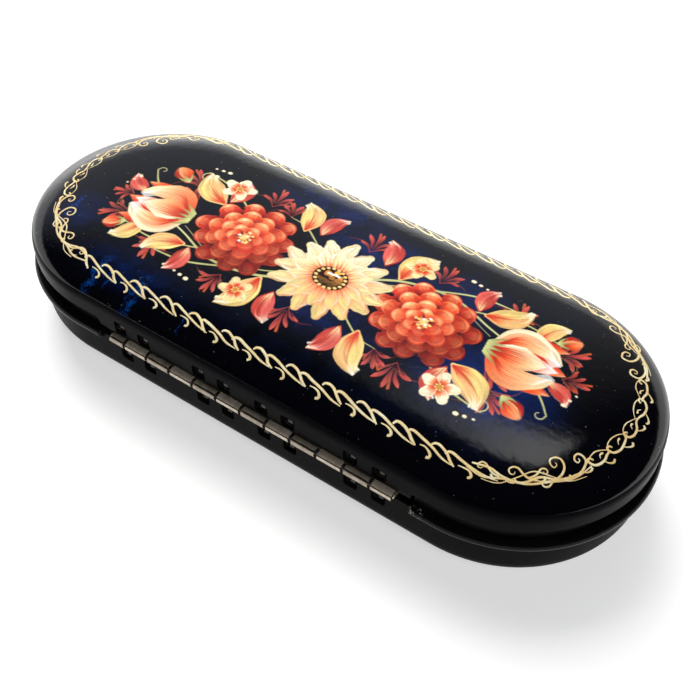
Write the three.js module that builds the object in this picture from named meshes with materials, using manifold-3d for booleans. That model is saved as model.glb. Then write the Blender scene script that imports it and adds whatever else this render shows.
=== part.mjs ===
// A hard spectacle case: two pressed steel shells joined along one long side by a knuckle hinge,
// with two over-centre springs, a black collar in the mouth and a flocked liner in each half.
// Millimetres, +Z up, +X along the case, hinge on the -Y side.

import * as THREE from 'three';
import { mergeVertices } from 'three/addons/utils/BufferGeometryUtils.js';
import Module from 'manifold-3d';

const wasm = await Module();
wasm.setup();

// Overall sizes
const LID_LENGTH = 162;
const LID_WIDTH = 65;
const END_REACH = 33;
const TOTAL_HEIGHT = 30;
const HINGE_HEIGHT = 16;

// Sheet, and the gap kept between pieces that touch
const SHEET = 0.8;
const GAP = 0.3;

// Lid
const LID_EDGE_RISE = 3.6;
const LID_WALL_RISE = 3;
const DOME_POWER = 2.7;

// Base
const BASE_INSET = 0.4;
const BASE_ROUND_WIDTH = 8;
const BASE_ROUND_HEIGHT = 6.5;
const BEAD_PROUD = 1.1;
const BEAD_RADIUS = 1.3;
const BEAD_DROP = 1.3;

// Collar in the mouth
const COLLAR_THICKNESS = 0.9;
const COLLAR_LAP = 1.2;
const COLLAR_DEPTH = 7;

// Liners
const LINER_THICKNESS = 1;
const LINER_CLEARANCE = 0.4;
const LINER_RIM_GAP = 0.6;
const LINER_ROUND = 6;

// Hinge
const HINGE_SHIFT = 0.4;
const AXIS_OUTSET = 0.3;
const KNUCKLE_COUNT = 12;
const KNUCKLE_PITCH = 6.67;
const FIRST_KNUCKLE_SHARE = 0.65;
const LAST_KNUCKLE_SHARE = 0.8;
const KNUCKLE_RADIUS = 1.3;
const PIN_RADIUS = 0.6;
const PIN_CLEARANCE = 0.15;
const PIN_OVERHANG = 0.4;
const LEAF_THICKNESS = 0.7;
const LID_LEAF_CLEARANCE = 1.1;
const BASE_LEAF_BOTTOM = 8;
const BARREL_CLEARANCE = 0.35;

// Lands in the shells along the hinge
const LAND_OVERHANG = 3.7;
const LAND_CORNER = 1.2;

// Square holes and the prongs that show in them
const HOLE_SIZE = 3.2;
const HOLE_CORNER = 0.6;
const HOLE_PAIR_PLACES = [-31.3, -8.55, 8.55, 31.3];
const HOLE_PAIR_SPACING = 6.97;
const LID_HOLE_RISE = 4.1;
const BASE_HOLE_DROP = 5.2;
const WINDOW_MARGIN = 0.2;
const PRONG_WIDTH = 1.2;
const PRONG_HEIGHT = 0.9;
const PRONG_SHY = 0.1;

// Over-centre springs, placed from the hinge axis
const SPRING_PLACES = [-19.9, 19.9];
const SPRING_WIDTH = 8;
const SPRING_THICKNESS = 0.5;
const SPRING_BOW = 5.2;
const SPRING_ANCHOR_HEIGHT = 5.85;
const EAR_RADIUS = 0.45;
const CHEEK_THICKNESS = 0.8;
const CHEEK_MARGIN = 0.35;

// Facets
const END_POINTS = 15;
const DOME_STEPS = 9;
const ROUND_STEPS = 5;
const BEAD_STEPS = 6;
const CORNER_STEPS = 3;
const ROUND_SIDES = 20;
const ARC_STEPS = 16;
const CENTRE_SHARE = 0.12;
const BITE = 0.2;
const FAR = 200;

// Sizes that follow from the driving ones
const halfWidth = LID_WIDTH / 2;
const straightHalf = LID_LENGTH / 2 - END_REACH;
const endStretch = END_REACH / halfWidth;
const baseHalfWidth = halfWidth - BASE_INSET;
const lidEdge = HINGE_HEIGHT + LID_EDGE_RISE;
const domeFoot = lidEdge + LID_WALL_RISE;
const beadTop = HINGE_HEIGHT - BEAD_DROP + BEAD_RADIUS;
const barrelReach = AXIS_OUTSET + KNUCKLE_RADIUS;
const shellShift = (barrelReach - BEAD_PROUD) / 2;
const axisY = -(halfWidth + AXIS_OUTSET);
const collarTop = lidEdge + COLLAR_LAP;
const collarOuter = baseHalfWidth - SHEET - GAP;
const collarInner = collarOuter - COLLAR_THICKNESS;
const leafStart = HINGE_SHIFT - (KNUCKLE_COUNT / 2 - 1 + FIRST_KNUCKLE_SHARE) * KNUCKLE_PITCH;
const leafEnd = HINGE_SHIFT + (KNUCKLE_COUNT / 2 - 1 + LAST_KNUCKLE_SHARE) * KNUCKLE_PITCH;
const landStart = leafStart - LAND_OVERHANG;
const landEnd = leafEnd + LAND_OVERHANG;
const lidLeafOuter = -(halfWidth - SHEET - GAP);
const lidLeafInner = lidLeafOuter + LEAF_THICKNESS;
const baseLeafOuter = -(baseHalfWidth - SHEET - GAP);
const baseLeafInner = baseLeafOuter + LEAF_THICKNESS;
const landGap = KNUCKLE_RADIUS + BARREL_CLEARANCE;
const earRoom = EAR_RADIUS + GAP;
const baseAnchor = { y: baseLeafInner + earRoom, z: HINGE_HEIGHT - SPRING_ANCHOR_HEIGHT };
const lidAnchor = { y: lidLeafInner + earRoom, z: HINGE_HEIGHT + SPRING_ANCHOR_HEIGHT };
const springReach = (baseAnchor.y + lidAnchor.y) / 2 + SPRING_BOW + SPRING_THICKNESS;
const linerFlat = springReach + LINER_CLEARANCE;

// One ring of plan points: half ellipses at the ends, straight between them
function planRing(reach) {
  const ring = [];
  for (const side of [1, -1]) {
    for (let i = 0; i < END_POINTS; i += 1) {
      const angle = -Math.PI / 2 + (Math.PI * i) / (END_POINTS - 1);
      const x = straightHalf + reach * endStretch * Math.cos(angle);
      ring.push(new THREE.Vector2(side * x, side * reach * Math.sin(angle)));
    }
  }
  return ring;
}

// Lofts a section of [reach, height] pairs round the plan. An open section is capped at both ends,
// the first cap facing down and the last facing up. A closed one makes a ring.
function loft(section, closed = false) {
  const positions = [];
  const index = [];
  const count = END_POINTS * 2;
  for (const [reach, height] of section) {
    for (const point of planRing(reach)) {
      positions.push(point.x, point.y, height);
    }
  }
  const spans = closed ? section.length : section.length - 1;
  for (let i = 0; i < spans; i += 1) {
    const low = i * count;
    const high = ((i + 1) % section.length) * count;
    for (let j = 0; j < count; j += 1) {
      const next = (j + 1) % count;
      index.push(low + j, low + next, high + next);
      index.push(low + j, high + next, high + j);
    }
  }
  if (!closed) {
    const last = (section.length - 1) * count;
    const first = planRing(section[0][0]);
    const final = planRing(section[section.length - 1][0]);
    for (const [a, b, c] of THREE.ShapeUtils.triangulateShape(first, [])) {
      index.push(a, c, b);
    }
    for (const [a, b, c] of THREE.ShapeUtils.triangulateShape(final, [])) {
      index.push(last + a, last + b, last + c);
    }
  }
  const geometry = new THREE.BufferGeometry();
  geometry.setAttribute('position', new THREE.Float32BufferAttribute(positions, 3));
  geometry.setIndex(index);
  return geometry;
}

// Geometry to solid and back
function solid(geometry) {
  const bare = geometry.clone();
  bare.deleteAttribute('normal');
  bare.deleteAttribute('uv');
  const merged = mergeVertices(bare, 1e-4);
  return new wasm.Manifold(new wasm.Mesh({
    numProp: 3,
    vertProperties: new Float32Array(merged.attributes.position.array),
    triVerts: new Uint32Array(merged.index.array),
  }));
}

function geometryOf(manifold) {
  const mesh = manifold.getMesh();
  const geometry = new THREE.BufferGeometry();
  geometry.setAttribute('position', new THREE.BufferAttribute(new Float32Array(mesh.vertProperties), 3));
  geometry.setIndex(new THREE.BufferAttribute(new Uint32Array(mesh.triVerts), 1));
  geometry.computeVertexNormals();
  return geometry;
}

function joined(pieces) {
  return pieces.reduce((whole, piece) => whole.add(piece));
}

function block(x0, x1, y0, y1, z0, z1) {
  const geometry = new THREE.BoxGeometry(x1 - x0, y1 - y0, z1 - z0);
  geometry.translate((x0 + x1) / 2, (y0 + y1) / 2, (z0 + z1) / 2);
  return solid(geometry);
}

// A round bar along X
function bar(x0, x1, y, z, radius) {
  const geometry = new THREE.CylinderGeometry(radius, radius, x1 - x0, ROUND_SIDES);
  geometry.rotateZ(-Math.PI / 2);
  geometry.translate((x0 + x1) / 2, y, z);
  return solid(geometry);
}

// An outline of [x, z] points pushed along Y
function slab(outline, y0, y1) {
  const shape = new THREE.Shape(outline.map(([x, z]) => new THREE.Vector2(x, z)));
  const geometry = new THREE.ExtrudeGeometry(shape, { depth: y1 - y0, bevelEnabled: false });
  geometry.rotateX(Math.PI / 2);
  geometry.translate(0, y1, 0);
  return solid(geometry);
}

// Points of an arc about a centre, from one angle to another
function arc(cx, cz, radius, from, to, steps) {
  const points = [];
  for (let i = 0; i <= steps; i += 1) {
    const angle = from + ((to - from) * i) / steps;
    points.push([cx + radius * Math.cos(angle), cz + radius * Math.sin(angle)]);
  }
  return points;
}

function roundedSquare(x, z, size, corner) {
  const h = size / 2 - corner;
  const quarter = Math.PI / 2;
  return [
    ...arc(x + h, z + h, corner, 0, quarter, CORNER_STEPS),
    ...arc(x - h, z + h, corner, quarter, 2 * quarter, CORNER_STEPS),
    ...arc(x - h, z - h, corner, 2 * quarter, 3 * quarter, CORNER_STEPS),
    ...arc(x + h, z - h, corner, 3 * quarter, 4 * quarter, CORNER_STEPS),
  ];
}

// The dome's section from its foot to the flat middle, for a given inset from the outside
function dome(inset) {
  const reach = halfWidth - inset;
  const rise = TOTAL_HEIGHT - domeFoot - inset;
  const last = Math.acos(CENTRE_SHARE ** (DOME_POWER / 2));
  const points = [];
  for (let i = 0; i <= DOME_STEPS; i += 1) {
    const angle = (last * i) / DOME_STEPS;
    const out = reach * Math.cos(angle) ** (2 / DOME_POWER);
    const up = rise * Math.sin(angle) ** (2 / DOME_POWER);
    points.push([out, domeFoot + up]);
  }
  return points;
}

// The height of that section at a given reach
function domeHeight(reach, inset) {
  const share = 1 - (reach / (halfWidth - inset)) ** DOME_POWER;
  return domeFoot + (TOTAL_HEIGHT - domeFoot - inset) * share ** (1 / DOME_POWER);
}

// The quarter round from the flat bottom up to a wall, for a bowl of a given reach and floor height
function bowl(reach, floor, roundWidth, roundHeight) {
  const points = [[reach * CENTRE_SHARE, floor]];
  for (let i = 0; i <= ROUND_STEPS; i += 1) {
    const angle = (Math.PI / 2) * (1 - i / ROUND_STEPS);
    const out = reach - roundWidth * (1 - Math.cos(angle));
    points.push([out, floor + roundHeight * (1 - Math.sin(angle))]);
  }
  return points;
}

const holePlaces = HOLE_PAIR_PLACES.flatMap((place) => [
  HINGE_SHIFT + place - HOLE_PAIR_SPACING / 2,
  HINGE_SHIFT + place + HOLE_PAIR_SPACING / 2,
]);

// The land that hangs below the lid's edge along the hinge, with rounded inner corners
function landOutline(edge, tip) {
  const c = Math.min(LAND_CORNER, edge - tip);
  const quarter = Math.PI / 2;
  return [
    [landStart, tip],
    [landEnd, tip],
    ...arc(landEnd + c, edge - c, c, 2 * quarter, quarter, CORNER_STEPS),
    [landEnd + c, edge + BITE],
    [landStart - c, edge + BITE],
    ...arc(landStart - c, edge - c, c, quarter, 0, CORNER_STEPS),
  ];
}

function makeLidShell() {
  const tip = HINGE_HEIGHT + landGap;
  const section = [
    ...dome(SHEET).reverse(),
    [halfWidth - SHEET, tip],
    [halfWidth, tip],
    ...dome(0),
  ];
  const keep = slab(landOutline(lidEdge, tip - BITE), -FAR, 0);
  const trim = block(-FAR, FAR, -FAR, FAR, 0, lidEdge).subtract(keep);
  const holes = holePlaces.map((x) => {
    const outline = roundedSquare(x, HINGE_HEIGHT + LID_HOLE_RISE, HOLE_SIZE, HOLE_CORNER);
    return slab(outline, -FAR, -halfWidth / 2);
  });
  return solid(loft(section)).subtract(trim).subtract(joined(holes));
}

function makeBaseShell() {
  const beadReach = halfWidth + BEAD_PROUD - BEAD_RADIUS;
  const beadHeight = HINGE_HEIGHT - BEAD_DROP;
  const outside = bowl(baseHalfWidth, 0, BASE_ROUND_WIDTH, BASE_ROUND_HEIGHT);
  const inside = bowl(
    baseHalfWidth - SHEET,
    SHEET,
    BASE_ROUND_WIDTH - SHEET,
    BASE_ROUND_HEIGHT - SHEET,
  );
  const underBead = -Math.acos((baseHalfWidth - beadReach) / BEAD_RADIUS);
  const bead = arc(beadReach, beadHeight, BEAD_RADIUS, underBead, Math.PI / 2, BEAD_STEPS);
  const section = [...outside, ...bead, [baseHalfWidth - SHEET, beadTop], ...inside.reverse()];
  const wallTop = HINGE_HEIGHT - landGap;
  const proud = block(landStart, landEnd, -FAR, -baseHalfWidth, BASE_ROUND_HEIGHT, FAR);
  const above = block(landStart, landEnd, -FAR, 0, wallTop, FAR);
  const holes = holePlaces.map((x) => {
    const outline = roundedSquare(x, HINGE_HEIGHT - BASE_HOLE_DROP, HOLE_SIZE, HOLE_CORNER);
    return slab(outline, -FAR, -halfWidth / 2);
  });
  return solid(loft(section)).subtract(proud).subtract(above).subtract(joined(holes));
}

function makeCollar() {
  const bottom = beadTop - COLLAR_DEPTH;
  const section = [
    [collarInner, bottom],
    [collarOuter, bottom],
    [collarOuter, collarTop],
    [collarInner, collarTop],
  ];
  const opening = block(landStart - GAP, landEnd + GAP, -FAR, 0, 0, FAR);
  return solid(loft(section, true)).subtract(opening);
}

// The room behind the liners' straight wall, where the hinge and its springs lie
function hingeRoom(extra) {
  const inner = linerFlat + extra;
  return block(landStart - GAP - extra, landEnd + GAP + extra, -FAR, inner, -FAR, FAR);
}

function makeBaseLiner() {
  const reach = collarInner - GAP;
  const floor = SHEET + LINER_CLEARANCE;
  const rim = collarTop - LINER_RIM_GAP;
  const outer = [...bowl(reach, floor, LINER_ROUND, LINER_ROUND), [reach, rim], [reach * CENTRE_SHARE, rim]];
  const wall = reach - LINER_THICKNESS;
  const round = LINER_ROUND - LINER_THICKNESS;
  const inner = [
    ...bowl(wall, floor + LINER_THICKNESS, round, round),
    [wall, rim + BITE],
    [wall * CENTRE_SHARE, rim + BITE],
  ];
  const body = solid(loft(outer)).subtract(hingeRoom(0));
  return body.subtract(solid(loft(inner)).subtract(hingeRoom(LINER_THICKNESS)));
}

function makeLidLiner() {
  const inset = SHEET + LINER_CLEARANCE;
  const rim = collarTop + LINER_RIM_GAP;
  const outer = [[halfWidth * CENTRE_SHARE, rim], [halfWidth - inset, rim], ...dome(inset)];
  const wall = halfWidth - inset - LINER_THICKNESS;
  const inner = [
    [halfWidth * CENTRE_SHARE, rim - BITE],
    [wall, rim - BITE],
    ...dome(inset + LINER_THICKNESS),
  ];
  const body = solid(loft(outer)).subtract(hingeRoom(0));
  return body.subtract(solid(loft(inner)).subtract(hingeRoom(LINER_THICKNESS)));
}

// The knuckles that belong to one leaf: the even ones turn with the base, the odd with the lid
function knuckleSpans(parity) {
  const spans = [];
  for (let i = parity; i < KNUCKLE_COUNT; i += 2) {
    const left = HINGE_SHIFT + (i - KNUCKLE_COUNT / 2) * KNUCKLE_PITCH;
    const start = i === 0 ? leafStart : left + GAP / 2;
    const end = i === KNUCKLE_COUNT - 1 ? leafEnd : left + KNUCKLE_PITCH - GAP / 2;
    spans.push([start, end]);
  }
  return spans;
}

// One leaf: a strip behind the shell's wall, tongues out to its knuckles, windows with prongs that
// stand in the shell's holes, and a pair of cheeks for the ears of each spring
function makeLeaf({ parity, upward, leafOuter, leafInner, far, holeHeight, shellOuter, anchor }) {
  const root = HINGE_HEIGHT + upward * (landGap - GAP);
  const near = root - upward * BITE;
  const edge = HINGE_HEIGHT + upward * far;
  const strip = block(leafStart, leafEnd, leafOuter, leafInner, Math.min(near, edge), Math.max(near, edge));
  const tongueOuter = axisY + PIN_RADIUS + PIN_CLEARANCE + BITE;
  const pieces = [strip];
  for (const [start, end] of knuckleSpans(parity)) {
    const top = Math.max(root, HINGE_HEIGHT);
    const bottom = Math.min(root, HINGE_HEIGHT);
    pieces.push(bar(start, end, axisY, HINGE_HEIGHT, KNUCKLE_RADIUS));
    pieces.push(block(start, end, tongueOuter, leafInner, bottom, top));
  }
  const window = HOLE_SIZE + 2 * WINDOW_MARGIN;
  const windows = holePlaces.map((x) => {
    const outline = roundedSquare(x, holeHeight, window, HOLE_CORNER);
    return slab(outline, leafOuter - BITE, leafInner + BITE);
  });
  const prongs = holePlaces.flatMap((x) => {
    const right = x + HOLE_SIZE / 2 - GAP;
    const left = right - PRONG_WIDTH;
    const top = holeHeight + HOLE_SIZE / 2 - GAP;
    const seat = holeHeight + window / 2 + BITE;
    return [
      block(left, right, leafOuter, leafInner, top - PRONG_HEIGHT, seat),
      block(left, right, shellOuter + PRONG_SHY, leafInner, top - PRONG_HEIGHT, top),
    ];
  });
  const reach = anchor.y + earRoom + CHEEK_MARGIN;
  const span = earRoom + CHEEK_MARGIN;
  const cheeks = SPRING_PLACES.flatMap((place) => [-1, 1].map((side) => {
    const inner = HINGE_SHIFT + place + side * (SPRING_WIDTH / 2 + GAP);
    const outer = inner + side * CHEEK_THICKNESS;
    const x0 = Math.min(inner, outer);
    const x1 = Math.max(inner, outer);
    return block(x0, x1, leafInner - BITE, reach, anchor.z - span, anchor.z + span);
  }));
  const pinBore = bar(-FAR, FAR, axisY, HINGE_HEIGHT, PIN_RADIUS + PIN_CLEARANCE);
  const earBore = bar(-FAR, FAR, anchor.y, anchor.z, earRoom);
  const body = joined(pieces).subtract(joined(windows)).add(joined(prongs)).add(joined(cheeks));
  return body.subtract(pinBore).subtract(earBore);
}

function makePin() {
  return bar(leafStart - PIN_OVERHANG, leafEnd + PIN_OVERHANG, axisY, HINGE_HEIGHT, PIN_RADIUS);
}

// A bowed strip from the base leaf's cheeks to the lid leaf's, with an ear at each corner
function makeSpring(place) {
  const middle = HINGE_SHIFT + place;
  const dy = lidAnchor.y - baseAnchor.y;
  const dz = lidAnchor.z - baseAnchor.z;
  const chord = Math.hypot(dy, dz);
  const radius = (chord ** 2 / 4 + SPRING_BOW ** 2) / (2 * SPRING_BOW);
  const half = Math.asin(chord / 2 / radius);
  const sweep = SPRING_BOW > radius ? Math.PI - half : half;
  const lean = Math.atan2(dz, dy) - Math.PI / 2;
  const back = SPRING_BOW - radius;
  const cy = (baseAnchor.y + lidAnchor.y) / 2 + back * Math.cos(lean);
  const cz = (baseAnchor.z + lidAnchor.z) / 2 + back * Math.sin(lean);
  const from = lean - sweep;
  const to = lean + sweep;
  const t = SPRING_THICKNESS / 2;
  const outline = [
    ...arc(cy, cz, radius + t, from, to, ARC_STEPS),
    ...arc(cy, cz, radius - t, to, from, ARC_STEPS),
  ];
  const shape = new THREE.Shape(outline.map(([y, z]) => new THREE.Vector2(y, z)));
  const strip = new THREE.ExtrudeGeometry(shape, { depth: SPRING_WIDTH, bevelEnabled: false });
  const turn = new THREE.Matrix4().makeBasis(
    new THREE.Vector3(0, 1, 0),
    new THREE.Vector3(0, 0, 1),
    new THREE.Vector3(1, 0, 0),
  );
  strip.applyMatrix4(turn);
  strip.translate(middle - SPRING_WIDTH / 2, 0, 0);
  const reach = SPRING_WIDTH / 2 + GAP + CHEEK_THICKNESS + BITE;
  const ears = [baseAnchor, lidAnchor].map(({ y, z }) => bar(middle - reach, middle + reach, y, z, EAR_RADIUS));
  return solid(strip).add(joined(ears));
}

const lacquer = { color: 0x08090d, roughness: 0.15, metalness: 0.0 };
const satin = { color: 0x1b1b1c, roughness: 0.5, metalness: 0.0 };
const nickel = { color: 0xb9ad9c, roughness: 0.35, metalness: 1.0 };
const steel = { color: 0x8f8f92, roughness: 0.4, metalness: 1.0 };
const flock = { color: 0x1a1f3a, roughness: 0.95, metalness: 0.0 };

const eyeglassCase = new THREE.Group();
eyeglassCase.position.y = shellShift;

function addPiece(name, manifold, look) {
  const mesh = new THREE.Mesh(geometryOf(manifold), new THREE.MeshStandardMaterial(look));
  mesh.name = name;
  eyeglassCase.add(mesh);
}

addPiece('base_shell', makeBaseShell(), satin);
addPiece('lid_shell', makeLidShell(), lacquer);
addPiece('rim_collar', makeCollar(), satin);
addPiece('base_liner', makeBaseLiner(), flock);
addPiece('lid_liner', makeLidLiner(), flock);
addPiece('base_hinge_leaf', makeLeaf({
  parity: 0,
  upward: -1,
  leafOuter: baseLeafOuter,
  leafInner: baseLeafInner,
  far: BASE_LEAF_BOTTOM,
  holeHeight: HINGE_HEIGHT - BASE_HOLE_DROP,
  shellOuter: -baseHalfWidth,
  anchor: baseAnchor,
}), nickel);
addPiece('lid_hinge_leaf', makeLeaf({
  parity: 1,
  upward: 1,
  leafOuter: lidLeafOuter,
  leafInner: lidLeafInner,
  far: domeHeight(-lidLeafOuter, SHEET) - LID_LEAF_CLEARANCE - HINGE_HEIGHT,
  holeHeight: HINGE_HEIGHT + LID_HOLE_RISE,
  shellOuter: -halfWidth,
  anchor: lidAnchor,
}), nickel);
addPiece('hinge_pin', makePin(), steel);
SPRING_PLACES.forEach((place, i) => {
  addPiece(i === 0 ? 'snap_spring_left' : 'snap_spring_right', makeSpring(place), steel);
});

export default eyeglassCase;
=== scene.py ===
# A painted spectacle case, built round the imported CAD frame.
# Shapes are made in millimetres about the middle of the shells, then moved into the frame in metres.

import math

import bmesh
import bpy
import numpy as np
from mathutils import Matrix, Vector


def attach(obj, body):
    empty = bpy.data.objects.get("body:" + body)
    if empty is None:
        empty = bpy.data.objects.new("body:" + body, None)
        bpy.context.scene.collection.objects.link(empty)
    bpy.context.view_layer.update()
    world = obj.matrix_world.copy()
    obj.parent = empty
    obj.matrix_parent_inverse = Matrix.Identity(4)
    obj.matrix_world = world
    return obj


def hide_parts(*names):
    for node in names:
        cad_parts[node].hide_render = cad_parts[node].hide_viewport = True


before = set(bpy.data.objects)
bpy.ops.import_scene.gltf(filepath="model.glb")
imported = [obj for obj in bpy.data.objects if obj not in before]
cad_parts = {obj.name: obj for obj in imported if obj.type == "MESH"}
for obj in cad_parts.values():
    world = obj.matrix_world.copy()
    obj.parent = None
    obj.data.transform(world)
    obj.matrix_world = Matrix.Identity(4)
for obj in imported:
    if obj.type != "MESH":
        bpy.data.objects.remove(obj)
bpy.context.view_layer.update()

# Sizes shared with the CAD model
MM = 0.001
SHELL_SHIFT = 0.25
STRAIGHT = 48.0
HALF_WIDTH = 32.5
STRETCH = 33 / 32.5
HINGE_Z = 16.0
SHEET = 0.8
LID_EDGE = 19.6
DOME_FOOT = 22.6
DOME_POWER = 2.7
BASE_HALF = 32.1
BASE_ROUND_WIDTH = 8.0
BASE_ROUND_HEIGHT = 6.5
BEAD_REACH = 32.3
BEAD_Z = 14.7
BEAD_RADIUS = 1.3
AXIS_Y = -32.8
PIN_RADIUS = 0.6
PIN_CLEARANCE = 0.15
PIN_OVERHANG = 0.4
PITCH = 6.67
KNUCKLES = 12
HINGE_SHIFT = 0.4
LEAF_START = -37.29
LEAF_END = 39.09
LEAF_THICK = 0.7
BASE_LEAF_Y = -31.0
BASE_LEAF_REACH = 8.0
LID_LEAF_Y = -31.4
LID_LEAF_REACH = 7.19
LAND_START = -40.99
LAND_END = 42.79
LAND_CORNER = 1.2
LAND_TIP = 17.65
WALL_TOP = 14.35
HOLE = 3.2
HOLE_CORNER = 0.6
HOLE_PAIRS = (-31.3, -8.55, 8.55, 31.3)
HOLE_SPACING = 6.97
WINDOW_MARGIN = 0.2
PRONG_WIDTH = 1.2
PRONG_HEIGHT = 0.9
PRONG_SHY = 0.1
LID_HOLE_Z = 20.1
BASE_HOLE_Z = 10.8
COLLAR_INNER = 30.1
COLLAR_OUTER = 31.0
COLLAR_LOW = 9.0
COLLAR_HIGH = 20.8
LINER_FLAT = -23.65
LINER_THICK = 1.0
TRAY_REACH = 29.8
TRAY_FLOOR = 1.2
TRAY_ROUND = 6.0
TRAY_RIM = 20.2
LINING_INSET = 1.2
LINING_RIM = 21.4
LINING_TOP = 30.0
ANCHORS = {"base": (-29.55, 10.15), "lid": (-29.95, 21.85)}
SPRING_PLACES = (-19.5, 20.3)
SPRING_WIDTH = 8.0
SPRING_BOW = 5.2
SPRING_THICKNESS = 0.5
EAR_RADIUS = 0.45
CHEEK = 0.8
CHEEK_MARGIN = 0.35
BITE = 0.2
GAP = 0.3

# Sizes of the looks. The lid's top and the knuckles stay a little inside those of the CAD model.
LID_TOP = 29.92
KNUCKLE_RADIUS = 1.16
BORE_RADIUS = 0.72
KNUCKLE_GAP = 0.75
SEAM_DEPTH = 0.3
LID_SEAM = (147, 8)
BASE_SEAM = (232, 13)
HEM = 0.3
LIP = 0.3
BEAD_FOOT = 2.65
WALL_STEPS = (0.0, 0.35, 0.7)
BEND = 0.3
NECK = 0.6
STRIP_START = 0.35
PRONG_ROOT = 0.4
STRIP_EDGE = 0.12
KNUCKLE_EDGE = 0.07
CHEEK_EDGE = 0.08
PRONG_EDGE = 0.14
ROOT_EDGE = 0.1
PIN_EDGE = 0.25
EAR_EDGE = 0.15
EAR_END = 0.2
SPRING_EDGE = 0.1
TRAY_EDGE = 0.35
ROOM_CORNER = 2.0
DULL_TOP = 25.0
SKIN_DEPTH = 0.965
BORDER_RISE = 0.045
FILM_LIFT = 0.018
PAINT_EDGE = 0.004

END_STEPS = 72
SIDE_STEP = 1.5
COARSE_STEP = 4.0
FAR = 200.0
MERGE_GAP = 1e-4
TINY = 1e-9
rng = np.random.default_rng(7)


# Mesh building in millimetres

def temp(verts, faces):
    mesh = bpy.data.meshes.new("temp")
    mesh.from_pydata(np.asarray(verts, float).tolist(), [], [list(f) for f in faces])
    obj = bpy.data.objects.new("temp", mesh)
    bpy.context.scene.collection.objects.link(obj)
    return obj


def tidy(obj, merged=True):
    """Merges doubled corners and turns every face outwards."""
    bm = bmesh.new()
    bm.from_mesh(obj.data)
    if merged:
        bmesh.ops.remove_doubles(bm, verts=bm.verts, dist=MERGE_GAP)
        bmesh.ops.dissolve_degenerate(bm, edges=bm.edges, dist=MERGE_GAP)
    bmesh.ops.recalc_face_normals(bm, faces=bm.faces)
    bm.to_mesh(obj.data)
    bm.free()
    return obj


def joined(objs):
    bm = bmesh.new()
    for obj in objs:
        bm.from_mesh(obj.data)
        bpy.data.objects.remove(obj)
    made = temp([], [])
    bm.to_mesh(made.data)
    bm.free()
    return made


def settled(obj):
    """Puts an object's modifiers into its mesh."""
    bpy.context.view_layer.update()
    depsgraph = bpy.context.evaluated_depsgraph_get()
    mesh = bpy.data.meshes.new_from_object(obj.evaluated_get(depsgraph))
    obj.modifiers.clear()
    obj.data = mesh
    return obj


def carve(obj, tool, how="DIFFERENCE"):
    mod = obj.modifiers.new("carve", "BOOLEAN")
    mod.operation = how
    mod.solver = "EXACT"
    mod.object = tool
    settled(obj)
    bpy.data.objects.remove(tool)
    return obj


def bevelled(obj, width, angle=40, steps=2):
    mod = obj.modifiers.new("bevel", "BEVEL")
    mod.width = width
    mod.segments = steps
    mod.limit_method = "ANGLE"
    mod.angle_limit = math.radians(angle)
    mod.miter_outer = "MITER_ARC"
    return settled(obj)


def place(obj, name, material, body, slot=None, nodes=(), sharp=35):
    """Moves a finished shape into the frame and hands it to its body."""
    obj.name = name
    obj.data.name = name
    obj.data.transform(Matrix.Scale(MM, 4) @ Matrix.Translation((0, SHELL_SHIFT, 0)))
    obj.data.materials.clear()
    obj.data.materials.append(material)
    obj.data.shade_smooth()
    obj.data.set_sharp_from_angle(angle=math.radians(sharp))
    if nodes:
        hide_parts(*nodes)
    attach(obj, body)
    return obj


def vary(obj, others, choose):
    """Gives a piece more materials. choose tells a face's material from its middle and its normal."""
    for material in others:
        obj.data.materials.append(material)
    for face in obj.data.polygons:
        x, y, z = face.center / MM
        face.material_index = int(choose(x, y - SHELL_SHIFT, z, face.normal))


def straight_places():
    """Places along the straight sides, close together where the hinge's lands end."""
    steps = np.concatenate([np.arange(-0.6, 0.0, 0.1), np.arange(0, 1.3, 0.08), np.arange(1.4, 3.4, 0.2)])
    fine = [end + side * d for end, side in ((LAND_START, -1), (LAND_END, 1)) for d in steps]
    coarse = np.arange(-STRAIGHT + SIDE_STEP, STRAIGHT - 0.1, SIDE_STEP)
    return np.sort(np.array([c for c in coarse if all(abs(c - f) > 0.3 for f in fine)] + fine))


def stations(with_fine=True):
    """Stations round the plan: the centre along X, and the angle about it."""
    angles = np.linspace(-90, 90, END_STEPS + 1)
    along = straight_places() if with_fine else np.arange(-STRAIGHT + COARSE_STEP, STRAIGHT, COARSE_STEP)
    right = [(STRAIGHT, a) for a in angles]
    back = [(c, 90) for c in along[::-1]]
    left = [(-STRAIGHT, a + 180) for a in angles]
    front = [(c, 270) for c in along]
    ring = np.array(right + back + left + front)
    return ring[:, 0], np.radians(ring[:, 1])


def skin(rings, capped=False, closed=False):
    """Joins rings of points one after the other. The ends are capped, or joined, or left open."""
    count, last = len(rings[0]), len(rings) - 1
    faces = [range(count)[::-1], range(last * count, last * count + count)] if capped else []
    for i in range(last + closed):
        low, high = i * count, (i + 1) % len(rings) * count
        for j in range(count):
            k = (j + 1) % count
            faces.append((low + j, low + k, high + k, high + j))
    return tidy(temp(np.vstack(rings), faces))


def loft(rows, centre, angle, closed=False):
    """A skin through rows of (reach, height), each a number or one value a station."""
    rings = []
    for reach, height in rows:
        x = centre + reach * STRETCH * np.cos(angle)
        rings.append(np.stack([x, reach * np.sin(angle), np.broadcast_to(height, x.shape)], 1))
    return skin(rings, closed=closed)


def stacked(layers, axis):
    """A closed body through outlines, each at its own place along an axis."""
    return skin([np.insert(np.array(outline), axis, at, 1) for at, outline in layers], capped=True)


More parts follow.
